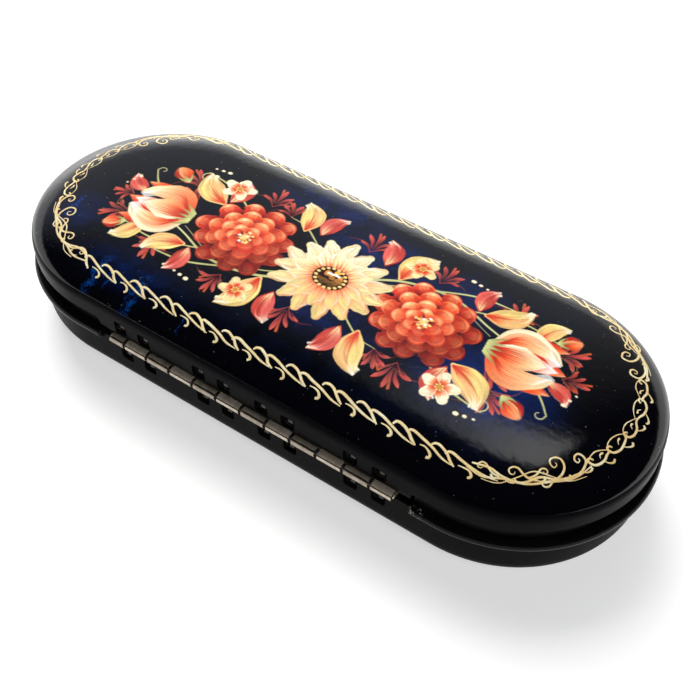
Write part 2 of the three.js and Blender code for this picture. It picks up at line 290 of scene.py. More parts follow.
def superellipse(inset, steps=44, top=LID_TOP):
    """Rows over the dome, from above its foot to its middle."""
    reach = HALF_WIDTH - inset
    rise = top - DOME_FOOT - inset
    power = 2 / DOME_POWER
    angles = np.linspace(0, math.pi / 2, steps + 1)[1:-1]
    rows = [(reach * math.cos(a) ** power, DOME_FOOT + rise * math.sin(a) ** power) for a in angles]
    return rows + [(0.0, DOME_FOOT + rise)]


def bowl_rows(reach, floor, round_width, round_height):
    """Rows from the middle of a bowl's floor to the foot of its wall."""
    rows = [(0.0, floor), (reach * 0.3, floor), ((reach - round_width) * 0.98, floor)]
    for a in np.linspace(math.pi / 2, 0, 17):
        rows.append((reach - round_width * (1 - math.cos(a)), floor + round_height * (1 - math.sin(a))))
    return rows


def arc(x, y, radius, start, end, steps):
    angles = np.radians(np.linspace(start, end, steps + 1))
    return [(x + radius * math.cos(a), y + radius * math.sin(a)) for a in angles]


def prism(outline, x0, x1, chamfer):
    """An outline in Y and Z pushed along X, with its ends drawn in by a chamfer."""
    ring = np.array(outline)
    ahead = np.roll(ring, -1, 0)
    tangent = ahead - np.roll(ring, 1, 0)
    normal = np.stack([tangent[:, 1], -tangent[:, 0]], 1)
    normal /= np.maximum(np.linalg.norm(normal, axis=1, keepdims=True), TINY)
    area = np.sum(ring[:, 0] * ahead[:, 1] - ahead[:, 0] * ring[:, 1])
    drawn = ring - normal * chamfer * np.sign(area)
    return stacked([(x0, drawn), (x0 + chamfer, ring), (x1 - chamfer, ring), (x1, drawn)], 0)


def rounded_square(x, z, size, corner):
    h = size / 2 - corner
    points = []
    for sx, sz, start in ((1, 1, 0), (-1, 1, 90), (-1, -1, 180), (1, -1, 270)):
        points += arc(x + sx * h, z + sz * h, corner, start, start + 90, 5)
    return points


def box(x0, x1, y0, y1, z0, z1, bevel=0.0):
    corners = [(x, y, z) for x in (x0, x1) for y in (y0, y1) for z in (z0, z1)]
    faces = [(0, 1, 3, 2), (4, 6, 7, 5), (0, 4, 5, 1), (2, 3, 7, 6), (0, 2, 6, 4), (1, 5, 7, 3)]
    made = tidy(temp(corners, faces))
    return bevelled(made, bevel) if bevel else made


def rod(x0, x1, y, z, radius, dome=0.0, sides=32):
    """A round bar along X, with plain or domed ends."""
    profile = [(x0, radius)]
    if dome:
        profile = [(x0, radius / 4)]
        profile += [(x0 + dome * s, radius * math.sqrt(1 - (1 - s) ** 2)) for s in (0.35, 0.7, 0.92, 1.0)]
    profile += [(x0 + x1 - x, r) for x, r in reversed(profile)]
    angles = np.linspace(0, 2 * math.pi, sides, endpoint=False)
    circle = np.stack([np.cos(angles), np.sin(angles)], 1)
    return stacked([(x, circle * r + (y, z)) for x, r in profile], 0)


# Materials

class Nodes:
    """A short way to write node trees. A value is set on the socket, and a socket is linked to it."""

    def __init__(self, owner):
        owner.use_nodes = True
        self.owner = owner
        self.tree = owner.node_tree
        self.tree.nodes.clear()
        self.mm = None

    def add(self, kind, setup=None, out=0, **inputs):
        """Adds a node. An input is named by its label, or by its number after a mark."""
        node = self.tree.nodes.new(kind)
        for key, value in (setup or {}).items():
            setattr(node, key, value)
        for key, value in inputs.items():
            socket = node.inputs[int(key[1:]) if key[1:].isdigit() else key.replace("_", " ")]
            if isinstance(value, bpy.types.NodeSocket):
                self.tree.links.new(value, socket)
            elif hasattr(value, "__len__") and len(socket.default_value) == 4:
                socket.default_value = (*value, 1)
            else:
                socket.default_value = value
        return node.outputs[out]

    def finish(self, shader, kind="Material"):
        self.tree.links.new(shader, self.tree.nodes.new(f"ShaderNodeOutput{kind}").inputs[0])
        return self.owner

    def surface(self, **inputs):
        return self.finish(self.add("ShaderNodeBsdfPrincipled", **inputs))

    def vector(self, op, first, second, out=0):
        return self.add("ShaderNodeVectorMath", {"operation": op}, out, _0=first, _1=second)

    def coords(self):
        """Object coordinates in millimetres."""
        if not self.mm:
            self.mm = self.scaled((1 / MM, 1 / MM, 1 / MM), self.add("ShaderNodeTexCoord", out=3))
        return self.mm

    def scaled(self, scale, vector=None):
        return self.vector("MULTIPLY", vector or self.coords(), scale)

    def length(self, vector):
        return self.vector("LENGTH", vector, (0, 0, 0), out=1)

    def xyz(self, vector=None):
        return self.add("ShaderNodeSeparateXYZ", Vector=vector or self.coords()).node.outputs

    def layer(self, name):
        """The colour and the alpha that a mesh carries in a layer of its own."""
        return self.add("ShaderNodeVertexColor", {"layer_name": name}).node.outputs

    def noise(self, scale, detail, rough, distort=0.0, vector=None):
        return self.add("ShaderNodeTexNoise", Vector=vector or self.coords(), Scale=scale, Detail=detail,
                        Roughness=rough, Distortion=distort)

    def math(self, op, first, *others):
        for other in others:
            first = self.add("ShaderNodeMath", {"operation": op}, _0=first, _1=other)
        return first

    def times(self, *values):
        return self.math("MULTIPLY", *values)

    def plus(self, *values):
        return self.math("ADD", *values)

    def most(self, *values):
        return self.math("MAXIMUM", *values)

    def remap(self, value, lo, hi, to_lo=0.0, to_hi=1.0):
        return self.add("ShaderNodeMapRange", {"interpolation_type": "SMOOTHSTEP"}, Value=value, From_Min=lo,
                        From_Max=hi, To_Min=to_lo, To_Max=to_hi)

    def fade(self, value, lo, hi):
        return self.remap(value, lo, hi, 1.0, 0.0)

    def band(self, value, middle, full, none):
        """One about a middle value, fading to nothing between two distances from it."""
        gap = self.math("SUBTRACT", value, middle)
        return self.fade(self.math("ABSOLUTE", gap, 0.0), full, none)

    def mix(self, fac, a, b, blend="MIX"):
        return self.add("ShaderNodeMix", {"data_type": "RGBA", "blend_type": blend}, 2, _0=fac, _6=a, _7=b)

    def bumps(self, *layers):
        """Bumps one on the other, each from a height, a strength and a distance in millimetres."""
        under = {}
        for height, strength, distance in layers:
            normal = self.add("ShaderNodeBump", Height=height, Strength=strength, Distance=distance * MM,
                              **under)
            under = {"Normal": normal}
        return normal

    def blob(self, x, y, wide, high):
        """One in an oval about a place on the plan, fading to nothing at its rim."""
        moved = self.vector("SUBTRACT", self.coords(), (x, y, 0))
        return self.fade(self.length(self.scaled((1 / wide, 1 / high, 0), moved)), 0.05, 1.0)

    def seen(self):
        """One for rays that show a thing itself, else nothing."""
        path = self.add("ShaderNodeLightPath").node.outputs
        return self.most(*(path[f"Is {kind} Ray"] for kind in ("Camera", "Glossy", "Transmission")))


# Patches of navy glaze: place, half width, half height and strength
GLAZES = (
    (44, -7, 22, 15, 1.0), (8, 12, 22, 12, 0.85), (6, -10, 22, 10, 0.5), (28, 12, 20, 10, 0.6),
    (-12, 22, 22, 9, 0.7), (-38, -23, 20, 7, 0.38), (-62, -14, 9, 9, 0.4),
)
# Runs of glaze: place along X, top, foot and width
RUNS = (
    (-45.0, -24.4, -31.0, 1.7), (-33.2, -24.0, -31.2, 1.8), (-64.5, -12, -21, 0.7),
    (-19.3, -26.0, -30.0, 0.4), (-41.6, -26.5, -28.5, 0.5),
)
DULL_BLACKS = ((0.002, 0.002, 0.002), (0.006, 0.006, 0.0055))
WORN_SIDE = (-20.0, -10.0)
WALL_GLOSS = 0.022


def new_nodes(name):
    return Nodes(bpy.data.materials.new(name))


def ground_colour(n):
    """Black lacquer with a sheer navy glaze, cloudy and streaked, strongest in the middle and to the right.
    """
    x, y, z = n.xyz()
    places = n.most(*(n.times(n.blob(*where), load) for *where, load in GLAZES))
    cloud = n.noise(0.11, 6, 0.62, 1.2)
    wisps = n.noise(1.0, 5, 0.6, 0.4, n.scaled((0.10, 0.42, 0.3)))
    glaze = n.times(places, n.remap(cloud, 0.34, 0.62, 0.3, 1.0), n.remap(wisps, 0.3, 0.65, 0.45, 1.0))
    inner = n.times(n.remap(cloud, 0.3, 0.6), n.band(y, 0.0, 20.0, 28.0), n.fade(x, 50.0, 64.0))
    deep = n.mix(inner, (0.0012, 0.0012, 0.0018), (0.0014, 0.0028, 0.0088))
    deep = n.mix(glaze, deep, (0.002, 0.021, 0.15))
    deep = n.mix(n.times(n.remap(n.noise(2.6, 3, 0.7), 0.45, 0.75), 0.2), deep, (0.003, 0.007, 0.035))
    bent = n.plus(x, n.times(n.plus(n.noise(0.32, 3, 0.55), -0.5), 5.0))
    runs = []
    for place, top, foot, wide in RUNS:
        ends = n.times(n.remap(y, foot - 1.2, foot + 0.6), n.fade(y, top, top + 3.5))
        runs.append(n.times(n.band(bent, place, 0.0, wide), ends))
    drip = n.times(n.most(*runs), n.remap(n.noise(0.8, 4, 0.7), 0.43, 0.57))
    deep = n.mix(drip, deep, (0.002, 0.040, 0.20))
    specks = n.times(n.remap(n.noise(1.9, 1, 0.3), 0.79, 0.80), n.remap(z, 24.5, 25.5))
    return n.mix(specks, deep, (0.10, 0.10, 0.11)), specks


def lacquer_material(name, painted):
    """The glossy lacquer of the dome, bare or with the flowers on it."""
    n = new_nodes(name)
    colour, specks = ground_colour(n)
    fine = n.noise(9.0, 3, 0.6)
    bumps = [(n.noise(0.55, 2, 0.4), 0.25, 0.10), (fine, 0.12, 0.02)]
    if painted:
        pigment, cover = n.layer("paint")
        tint = n.remap(n.noise(1.3, 4, 0.6), 0.3, 0.7, 0.93, 1.04)
        colour = n.mix(cover, colour, n.mix(1.0, pigment, tint, "MULTIPLY"))
        rough = n.plus(n.remap(fine, 0.3, 0.7, 0.06, 0.11), n.times(cover, 0.12))
    else:
        rough = n.plus(n.remap(fine, 0.3, 0.7, 0.06, 0.10), n.times(n.fade(n.xyz()[2], 23.6, 25.2), 0.2))
        bumps.append((specks, 0.6, 0.04))
    return n.surface(Base_Color=colour, Roughness=rough, Normal=n.bumps(*bumps), Specular_IOR_Level=0.5)


def wall_material():
    """The lid's straight wall, where the lacquer coat is light and rubbed dull."""
    n = new_nodes("lacquer_wall")
    fine = n.noise(10.0, 3, 0.65)
    dull = n.mix(n.noise(0.14, 4, 0.6), *DULL_BLACKS)
    colour = n.mix(n.remap(n.xyz()[2], 21.8, 23.4), dull, ground_colour(n)[0])
    normal = n.bumps((n.noise(1.1, 3, 0.5), 0.2, 0.06), (fine, 0.2, 0.02))
    rough = n.remap(fine, 0.3, 0.7, 0.26, 0.36)
    return n.surface(Base_Color=colour, Roughness=rough, Normal=normal, Specular_IOR_Level=WALL_GLOSS)


def gold_material():
    n = new_nodes("gold_paint")
    x, y, _ = n.xyz()
    grain = n.noise(14.0, 2, 0.7)
    # Painted shade: the gold turns darker and more orange towards the right end and the front, and at the
    # left end.
    gold_shade = n.times(n.remap(x, 30.0, 72.0), n.remap(y, -24.0, 12.0, 0.8, 0.45))
    gold_shade = n.most(gold_shade, n.remap(x, -72.0, -46.0, 0.6, 0.0))
    body = n.mix(gold_shade, (0.98, 0.84, 0.46), (0.88, 0.60, 0.23))
    # Painted highlights: random patches of the gold are lighter and yellower.
    gold_highlight = n.times(n.remap(n.noise(0.45, 3, 0.6), 0.46, 0.62), 0.85)
    body = n.mix(gold_highlight, body, (1.0, 0.98, 0.68))
    body = n.mix(n.remap(n.noise(0.35, 3, 0.6), 0.35, 0.65, 0.3, 0.0), body, (0.62, 0.36, 0.12))
    body = n.mix(n.remap(grain, 0.55, 0.8), body, (0.99, 0.92, 0.60))
    # Painted shade: the ribbons' edges are dark brown and their tops light, by the share of light in their
    # layer.
    colour = n.mix(n.layer("core")[0], (0.40, 0.23, 0.07), body)
    rough = n.remap(grain, 0.3, 0.7, 0.30, 0.46)
    return n.surface(Base_Color=colour, Roughness=rough, Metallic=0.2, Normal=n.bumps((grain, 0.5, 0.03)))


def satin_material():
    """Satin black, with a few specks and a rubbed place under the bead."""
    n = new_nodes("satin_paint")
    x, y, z = n.xyz()
    peel, fine = n.noise(1.7, 3, 0.5), n.noise(12.0, 3, 0.65)
    colour = n.mix(n.noise(0.14, 4, 0.6), *DULL_BLACKS)
    colour = n.mix(n.remap(n.noise(2.3, 1, 0.3), 0.79, 0.80), colour, (0.08, 0.08, 0.08))
    patchy = n.remap(n.noise(1.0, 4, 0.7, 0.0, n.scaled((1.1, 4.0, 4.0))), 0.48, 0.62)
    rub = n.times(n.band(x, 45.0, 0.8, 2.6), n.band(z, 14.9, 0.1, 0.75), patchy, n.fade(y, *WORN_SIDE))
    colour = n.mix(rub, colour, (0.24, 0.13, 0.10))
    rough = n.plus(n.remap(peel, 0.3, 0.7, 0.34, 0.42), n.times(n.remap(fine, 0.4, 0.7), 0.06))
    normal = n.bumps((peel, 0.2, 0.05), (fine, 0.18, 0.02))
    return n.surface(Base_Color=colour, Roughness=rough, Normal=normal, Specular_IOR_Level=0.025)


def bead_material():
    """The base's bead, glossier, with chips on the hinge side."""
    n = new_nodes("bead_gloss")
    x, y, _ = n.xyz()
    fine, ripple = n.noise(9.0, 3, 0.6), n.noise(0.5, 3, 0.5)
    colour = n.mix(ripple, (0.0015, 0.0015, 0.0016), (0.005, 0.005, 0.005))
    patchy = n.remap(n.noise(1.5, 4, 0.7), 0.55, 0.60)
    chips = n.times(n.band(x, 44.6, 0.7, 1.9), patchy, n.fade(y, *WORN_SIDE))
    colour = n.mix(chips, colour, (0.50, 0.42, 0.33))
    rough = n.remap(fine, 0.3, 0.7, 0.16, 0.26)
    normal = n.bumps((ripple, 0.3, 0.08), (fine, 0.2, 0.02))
    return n.surface(Base_Color=colour, Roughness=rough, Normal=normal, Specular_IOR_Level=0.1)


def collar_material():
    n = new_nodes("collar_black")
    fine = n.noise(8.0, 3, 0.6)
    colour = n.mix(fine, (0.006, 0.006, 0.007), (0.013, 0.013, 0.014))
    rough = n.remap(fine, 0.3, 0.7, 0.42, 0.58)
    return n.surface(Base_Color=colour, Roughness=rough, Normal=n.bumps((fine, 0.3, 0.03)),
                     Specular_IOR_Level=0.15)


def metal_material(name, dark, light, rough, metallic=0.6):
    """Drawn metal with patches and a little tarnish."""
    n = new_nodes(name)
    drawn = n.noise(1.0, 5, 0.65, 0.2, n.scaled((0.35, 9.0, 9.0)))
    tarnish = n.times(n.remap(n.noise(1.4, 4, 0.7), 0.52, 0.72), 0.45)
    colour = n.mix(n.remap(n.noise(0.6, 4, 0.6), 0.32, 0.68), dark, light)
    colour = n.mix(tarnish, colour, [0.45 * c for c in dark])
    roughness = n.plus(n.remap(drawn, 0.3, 0.7, rough, rough + 0.14), n.times(tarnish, 0.3))
    normal = n.bumps((drawn, 0.35, 0.02))
    return n.surface(Base_Color=colour, Metallic=metallic, Roughness=roughness, Normal=normal)


def flock_material():
    n = new_nodes("flock")
    fibre = n.noise(16.0, 3, 0.75)
    nap = n.remap(n.noise(0.16, 4, 0.6, 0.6), 0.25, 0.75)
    colour = n.mix(nap, (0.009, 0.014, 0.050), (0.017, 0.027, 0.095))
    colour = n.mix(n.times(n.remap(fibre, 0.5, 0.75), 0.5), colour, (0.04, 0.06, 0.17))
    return n.surface(Base_Color=colour, Roughness=0.95, Sheen_Weight=0.35, Sheen_Roughness=0.45,
                     Sheen_Tint=(0.45, 0.5, 0.8), Normal=n.bumps((fibre, 0.9, 0.12)))


lacquer = lacquer_material("lacquer", False)
lid_wall = wall_material()
paint = lacquer_material("flower_paint", True)
gold = gold_material()
satin = satin_material()
bead_gloss = bead_material()
collar_black = collar_material()
nickel = metal_material("nickel", (0.58, 0.49, 0.39), (0.78, 0.68, 0.55), 0.32)
# A darker copy of the nickel, as painted shade for the base's leaf, so that its knuckles read darker than the
# lid's.
shaded_nickel = metal_material("nickel_shaded_copy", (0.38, 0.32, 0.25), (0.56, 0.48, 0.38), 0.38)
# Near-black nickel: painted shade in the knuckles' seams and gaps, in the holes and on the hidden pin.
gap_shade_nickel = metal_material("nickel_gap_shade", (0.035, 0.03, 0.027), (0.09, 0.08, 0.07), 0.45)
spring_steel = metal_material("spring_steel", (0.36, 0.36, 0.38), (0.50, 0.50, 0.52), 0.30, 1.0)
flock = flock_material()


# The two shells

hole_places = [HINGE_SHIFT + p + s * HOLE_SPACING / 2 for p in HOLE_PAIRS for s in (-1, 1)]


def reach_of(x, y):
    """How far a place on the plan is from the shells' middle line, in the measure of the width."""
    return np.hypot(np.maximum(np.abs(x) - STRAIGHT, 0) / STRETCH, y)


def past_lands(centre):
    return np.maximum(LAND_START - centre, centre - LAND_END)


def on_hinge_side(angle):
    return np.sin(angle) < -0.999


def hole_tools(height, wall):
    """Square punches for a wall, each with a small flare at its outside."""
    cuts = ((wall - 2, 0.9), (wall + 0.02, 0.3), (wall + 0.3, 0.0), (wall + 4, 0.0))
    tools = []
    for x in hole_places:
        squares = [(y, rounded_square(x, height, HOLE + grow, HOLE_CORNER + grow / 2)) for y, grow in cuts]
        tools.append(stacked(squares, 1))
    return joined(tools)


def land_edge(centre, angle):
    """The lid's lower edge at each station: it drops to the land's tip along the hinge."""
    out = past_lands(centre)
    c = LAND_CORNER
    soft = 0.25
    curve = LID_EDGE - c + np.sqrt(np.clip(c * c - np.clip(c - out, 0, c) ** 2, 0, None))
    height = np.where(out >= 0, np.where(out < c, curve, LID_EDGE), LAND_TIP)
    near = np.clip(-out / soft, 0, 1)
    tip = LAND_TIP + soft * (1 - np.sqrt(1 - (1 - near) ** 2))
    height = np.where((out < 0) & (near < 1), tip, height)
    return np.where(on_hinge_side(angle), height, LID_EDGE)


def make_lid():
    centre, angle = stations()
    edge = land_edge(centre, angle)
    inside = HALF_WIDTH - SHEET
    rows = superellipse(SHEET)[::-1] + [(inside, DOME_FOOT + (edge - DOME_FOOT) * s) for s in WALL_STEPS]
    hems = ((inside + HEM, (-180, -150, -120, -90)), (HALF_WIDTH - HEM, (-90, -68, -45, -22, 0)))
    for middle, turns in hems:
        rows += [(middle + HEM * math.cos(a), edge + HEM * (1 + math.sin(a))) for a in np.radians(turns)]
    rows += [(HALF_WIDTH, DOME_FOOT + (edge - DOME_FOOT) * s) for s in WALL_STEPS[::-1]] + superellipse(0)
    return carve(loft(rows, centre, angle), hole_tools(LID_HOLE_Z, -HALF_WIDTH))


def make_base():
    """The bowl. Along the hinge its bead fades away and its wall is lower."""
    centre, angle = stations()
    out = past_lands(centre)
    hinge = on_hinge_side(angle)
    full = np.where(hinge, np.clip(out / 0.5, 0, 1), 1.0)
    bead = np.sqrt(np.clip(1 - (1 - full) ** 2, 0, 1))
    drop = np.where(hinge, np.clip(out / 0.25 + 0.5, 0, 1), 1.0)
    top = WALL_TOP + (HINGE_Z - WALL_TOP) * drop
    span = 0.45 + 0.55 * drop
    wall, foot = BASE_HALF - SHEET, BASE_ROUND_HEIGHT
    rows = bowl_rows(wall, SHEET, BASE_ROUND_WIDTH - SHEET, foot - SHEET)
    rows += [(wall, foot + (top - LIP - foot) * s) for s in (0.4, 0.8, 1.0)]
    rows += [(wall + 0.3 * LIP, top - 0.3 * LIP), (wall + LIP, top)]
    for a in np.linspace(90, -98.8, 15):
        proud = BEAD_REACH + BEAD_RADIUS * math.cos(math.radians(a)) - BASE_HALF
        height = HINGE_Z - (BEAD_Z + BEAD_RADIUS * math.sin(math.radians(a)))
        rows.append((BASE_HALF - 0.12 * (1 - bead) * (a > 80) + bead * proud, top - height * span))
    rows += [(BASE_HALF, foot + (top - BEAD_FOOT * span - foot) * s) for s in (0.97, 0.5)]
    rows += bowl_rows(BASE_HALF, 0.0, BASE_ROUND_WIDTH, foot)[::-1]
    return carve(loft(rows, centre, angle), hole_tools(BASE_HOLE_Z, -BASE_HALF))


def lid_face(x, y, z, normal):
    """Satin inside the lid, dull on its upright wall, else lacquer."""
    depth = (reach_of(x, y) / HALF_WIDTH) ** DOME_POWER
    depth += (max(z - DOME_FOOT, 0) / (LID_TOP - DOME_FOOT)) ** DOME_POWER
    return 2 if depth < SKIN_DEPTH else z < DULL_TOP and abs(normal.z) < 0.75


def base_face(x, y, z, normal):
    return reach_of(x, y) > BASE_HALF + 0.02 and z > BEAD_Z - BEAD_RADIUS


lid_skin = place(make_lid(), "lid_skin", lacquer, "lid", "lacquer", ["lid_shell"])
vary(lid_skin, (lid_wall, satin), lid_face)
base_skin = place(make_base(), "base_skin", satin, "base", "satin_paint", ["base_shell"])
vary(base_skin, (bead_gloss,), base_face)


# The collar in the mouth

def make_collar():
    centre, angle = stations(False)
    middle = (COLLAR_INNER + COLLAR_OUTER) / 2
    half = (COLLAR_OUTER - COLLAR_INNER) / 2
    level = (COLLAR_LOW + COLLAR_HIGH) / 2
    rows = [(COLLAR_INNER, COLLAR_LOW), (COLLAR_OUTER, COLLAR_LOW), (COLLAR_OUTER, level)]
    rows += arc(middle, COLLAR_HIGH - half, half, 0, 180, 8) + [(COLLAR_INNER, level)]
    ring = loft(rows, centre, angle, closed=True)
    return carve(ring, box(LAND_START - GAP, LAND_END + GAP, -FAR, 0, 0, FAR))


place(make_collar(), "collar_ring", collar_black, "base", "collar_black", ["rim_collar"])


# The liners

def room(extra, low, flare=0.0):
    """The hinge's room behind the liners: a block with rounded corners that flares into the floor."""
    levels = [(low, flare)]
    if flare:
        turns = np.radians(np.linspace(12, 90, 7))
        levels += [(low + flare * (1 - math.cos(a)), flare * (1 - math.sin(a))) for a in turns]
    layers = []
    for z, grow in levels + [(FAR, 0.0)]:
        out = GAP + extra + grow
        x0, x1, y1 = LAND_START - out, LAND_END + out, LINER_FLAT + extra + grow
        outline = [(x0, -FAR), (x1, -FAR)]
        outline += arc(x1 - ROOM_CORNER, y1 - ROOM_CORNER, ROOM_CORNER, 0, 90, 6)
        outline += arc(x0 + ROOM_CORNER, y1 - ROOM_CORNER, ROOM_CORNER, 90, 180, 6)
        layers.append((z, outline))
    return stacked(layers, 2)


def make_liner(outer, outer_room, inner, inner_room):
    """A tray: an outer body with an inner one taken out of it, both clear of the hinge's room."""
    centre, angle = stations(False)
    body = carve(loft(outer, centre, angle), outer_room)
    cavity = carve(loft(inner, centre, angle), inner_room)
    return bevelled(carve(body, cavity), TRAY_EDGE, 50, 3)


def make_base_liner():
    thick, rounding = LINER_THICK, TRAY_ROUND
    outer = bowl_rows(TRAY_REACH, TRAY_FLOOR, rounding, rounding) + [(TRAY_REACH, TRAY_RIM), (0.0, TRAY_RIM)]
    wall, floor, rounding = TRAY_REACH - thick, TRAY_FLOOR + thick, rounding - thick
    inner = bowl_rows(wall, floor, rounding, rounding) + [(wall, TRAY_RIM + 1), (0.0, TRAY_RIM + 1)]
    return make_liner(outer, room(0.0, -1), inner, room(thick, floor, rounding - 1.5))


def make_lid_liner():
    bodies = []
    for inset, rim in ((LINING_INSET, LINING_RIM), (LINING_INSET + LINER_THICK, LINING_RIM - 1)):
        wall = HALF_WIDTH - inset
        rows = [(0.0, rim), (wall, rim), (wall, DOME_FOOT)]
        bodies.append(rows + superellipse(inset, 28, LINING_TOP))
    return make_liner(bodies[0], room(0.0, -1), bodies[1], room(LINER_THICK, -1))


place(make_base_liner(), "base_tray", flock, "base", "flock", ["base_liner"])
place(make_lid_liner(), "lid_tray", flock, "lid", "flock", ["lid_liner"])


# The hinge

def knuckle_spans(parity):
    spans = []
    for i in range(parity, KNUCKLES, 2):
        left = HINGE_SHIFT + (i - KNUCKLES / 2) * PITCH
        start = LEAF_START if i == 0 else left + KNUCKLE_GAP / 2
        end = LEAF_END if i == KNUCKLES - 1 else left + PITCH - KNUCKLE_GAP / 2
        spans.append((start, end))
    return spans


def rolled_outline(up, outer_y, inner_y):
    """The section of a rolled knuckle and the sheet that it is rolled from, up for the lid's leaf."""
    middle, level = outer_y - BEND, KNUCKLE_RADIUS + BEND
    points = [(inner_y, level + NECK)] + arc(middle, level, BEND + LEAF_THICK, 0, -90, 8)
    points += arc(AXIS_Y, 0, BORE_RADIUS, 55, 380, 30)
    seam, spread = LID_SEAM if up > 0 else BASE_SEAM
    fine = np.linspace(seam + spread, seam - spread, 15)
    for a in np.r_[np.linspace(380, seam + spread + 3, 32), fine, np.linspace(seam - spread - 3, 90, 16)]:
        reach = KNUCKLE_RADIUS - SEAM_DEPTH * max(1 - (abs(a - seam) / spread) ** 2, 0) ** 0.5
        points.append((AXIS_Y + reach * math.cos(math.radians(a)), reach * math.sin(math.radians(a))))
    points += arc(middle, level, BEND, -90, 0, 6) + [(outer_y, level + NECK)]
    return [(y, HINGE_Z + up * z) for y, z in points]


def make_leaf(body, up, outer_y, reach, hole_z, shell_y):
    """A leaf: a strip with windows, rolled knuckles, a prong in each hole and cheeks for the springs."""
    inner_y = outer_y + LEAF_THICK
    low, high = sorted(HINGE_Z + up * far for far in (KNUCKLE_RADIUS + BEND + STRIP_START, reach))
    strip = box(LEAF_START, LEAF_END, outer_y, inner_y, low, high, STRIP_EDGE)
    windows = []
    for x in hole_places:
        square = rounded_square(x, hole_z, HOLE + 2 * WINDOW_MARGIN, HOLE_CORNER)
        windows.append(stacked([(outer_y - 1, square), (inner_y + 1, square)], 1))
    strip = carve(strip, joined(windows))
    section = rolled_outline(up, outer_y, inner_y)
    knuckles = [prism(section, a, b, KNUCKLE_EDGE) for a, b in knuckle_spans(int(up > 0))]
    pieces = [carve(strip, joined(knuckles), "UNION")]
    top = hole_z + HOLE / 2 - GAP
    for x in hole_places:
        right = x + HOLE / 2 - GAP
        left, under = right - PRONG_WIDTH, top - PRONG_HEIGHT
        pieces.append(box(left, right, shell_y + PRONG_SHY, inner_y, under, top, PRONG_EDGE))
        root = hole_z + HOLE / 2 + PRONG_ROOT
        pieces.append(box(left, right, outer_y, inner_y, under, root, ROOT_EDGE))
    y, z = ANCHORS[body]
    span = EAR_RADIUS + GAP + CHEEK_MARGIN
    foot = inner_y - BITE
    outline = [(foot, z - span), (y, z - span)] + arc(y, z, span, -90, 90, 12)
    outline += [(y, z + span), (foot, z + span)]
    for middle in SPRING_PLACES:
        for side in (-1, 1):
            a, b = sorted(middle + side * (SPRING_WIDTH / 2 + GAP + far) for far in (0.0, CHEEK))
            bore = rod(a - 1, b + 1, y, z, EAR_RADIUS + PIN_CLEARANCE)
            pieces.append(carve(prism(outline, a, b, CHEEK_EDGE), bore))
    return joined(pieces)


def leaf_face(x, y, z, normal):
    """Dark as painted shade in the seams, at the ends of the knuckles and on the strip and its prongs, else
    bright.
    """
    up = z - HINGE_Z
    sunk = math.hypot(y - AXIS_Y, up) < KNUCKLE_RADIUS - 0.08
    return sunk or abs(normal.x) > 0.8 or abs(up) > KNUCKLE_RADIUS + 0.9


base_leaf = make_leaf("base", -1, BASE_LEAF_Y, BASE_LEAF_REACH, BASE_HOLE_Z, -BASE_HALF)
lid_leaf = make_leaf("lid", 1, LID_LEAF_Y, LID_LEAF_REACH, LID_HOLE_Z, -HALF_WIDTH)
# The base's leaf takes the darker copy of the nickel as painted shade.
base_leaf = place(base_leaf, "hinge_leaf_base", shaded_nickel, "base", "nickel", ["base_hinge_leaf"], 30)
lid_leaf = place(lid_leaf, "hinge_leaf_lid", nickel, "lid", "nickel", ["lid_hinge_leaf"], 30)
vary(base_leaf, (gap_shade_nickel,), leaf_face)
vary(lid_leaf, (gap_shade_nickel,), leaf_face)
pin = rod(LEAF_START - PIN_OVERHANG, LEAF_END + PIN_OVERHANG, AXIS_Y, HINGE_Z, PIN_RADIUS, PIN_EDGE)
pin = place(pin, "pin_rod", nickel, "base", "nickel", ["hinge_pin"])
# The pin is near black inside the leaves' span, as painted shade in the gaps between the knuckles.
vary(pin, (gap_shade_nickel,), lambda x, y, z, normal: LEAF_START < x < LEAF_END)


def make_spring(middle):
    """A bowed strip between the two anchors, with round ears at its ends."""
    (y0, z0), (y1, z1) = ANCHORS["base"], ANCHORS["lid"]
    chord = math.hypot(y1 - y0, z1 - z0)
    radius = (chord**2 / 4 + SPRING_BOW**2) / (2 * SPRING_BOW)
    half = math.asin(chord / 2 / radius)
    lean = math.atan2(z1 - z0, y1 - y0) - math.pi / 2
    cy = (y0 + y1) / 2 + (SPRING_BOW - radius) * math.cos(lean)
    cz = (z0 + z1) / 2 + (SPRING_BOW - radius) * math.sin(lean)
    a0, a1 = math.degrees(lean - half), math.degrees(lean + half)
    t = SPRING_THICKNESS / 2
    outline = arc(cy, cz, radius + t, a0, a1, 40) + arc(cy, cz, radius - t, a1, a0, 40)
    strip = prism(outline, middle - SPRING_WIDTH / 2, middle + SPRING_WIDTH / 2, SPRING_EDGE)
    reach = SPRING_WIDTH / 2 + GAP + CHEEK + EAR_END
    for y, z in ANCHORS.values():
        strip = carve(strip, rod(middle - reach, middle + reach, y, z, EAR_RADIUS, EAR_EDGE, 20), "UNION")
    return strip


for side, middle in zip(("left", "right"), SPRING_PLACES):
    name, body, nodes = f"spring_strip_{side}", f"{side}_spring", [f"snap_spring_{side}"]
    place(make_spring(middle), name, spring_steel, body, "spring_steel", nodes, 40)


# The lid's surface under the painting

def lid_height(x, y):
    s = np.clip(reach_of(x, y) / HALF_WIDTH, 0, 0.99999)
    return DOME_FOOT + (LID_TOP - DOME_FOOT) * (1 - s**DOME_POWER) ** (1 / DOME_POWER)


def on_lid(plan, lift):
    """Points over the lid, each lifted off its surface along the normal."""
    x, y = plan[:, 0], plan[:, 1]
    step = 0.02
    sx = (lid_height(x + step, y) - lid_height(x - step, y)) / (2 * step)
    sy = (lid_height(x, y + step) - lid_height(x, y - step)) / (2 * step)
    normal = np.stack([-sx, -sy, np.ones_like(sx)], 1)
    normal /= np.linalg.norm(normal, axis=1, keepdims=True)
    return np.column_stack([x, y, lid_height(x, y)]) + normal * lift[:, None]


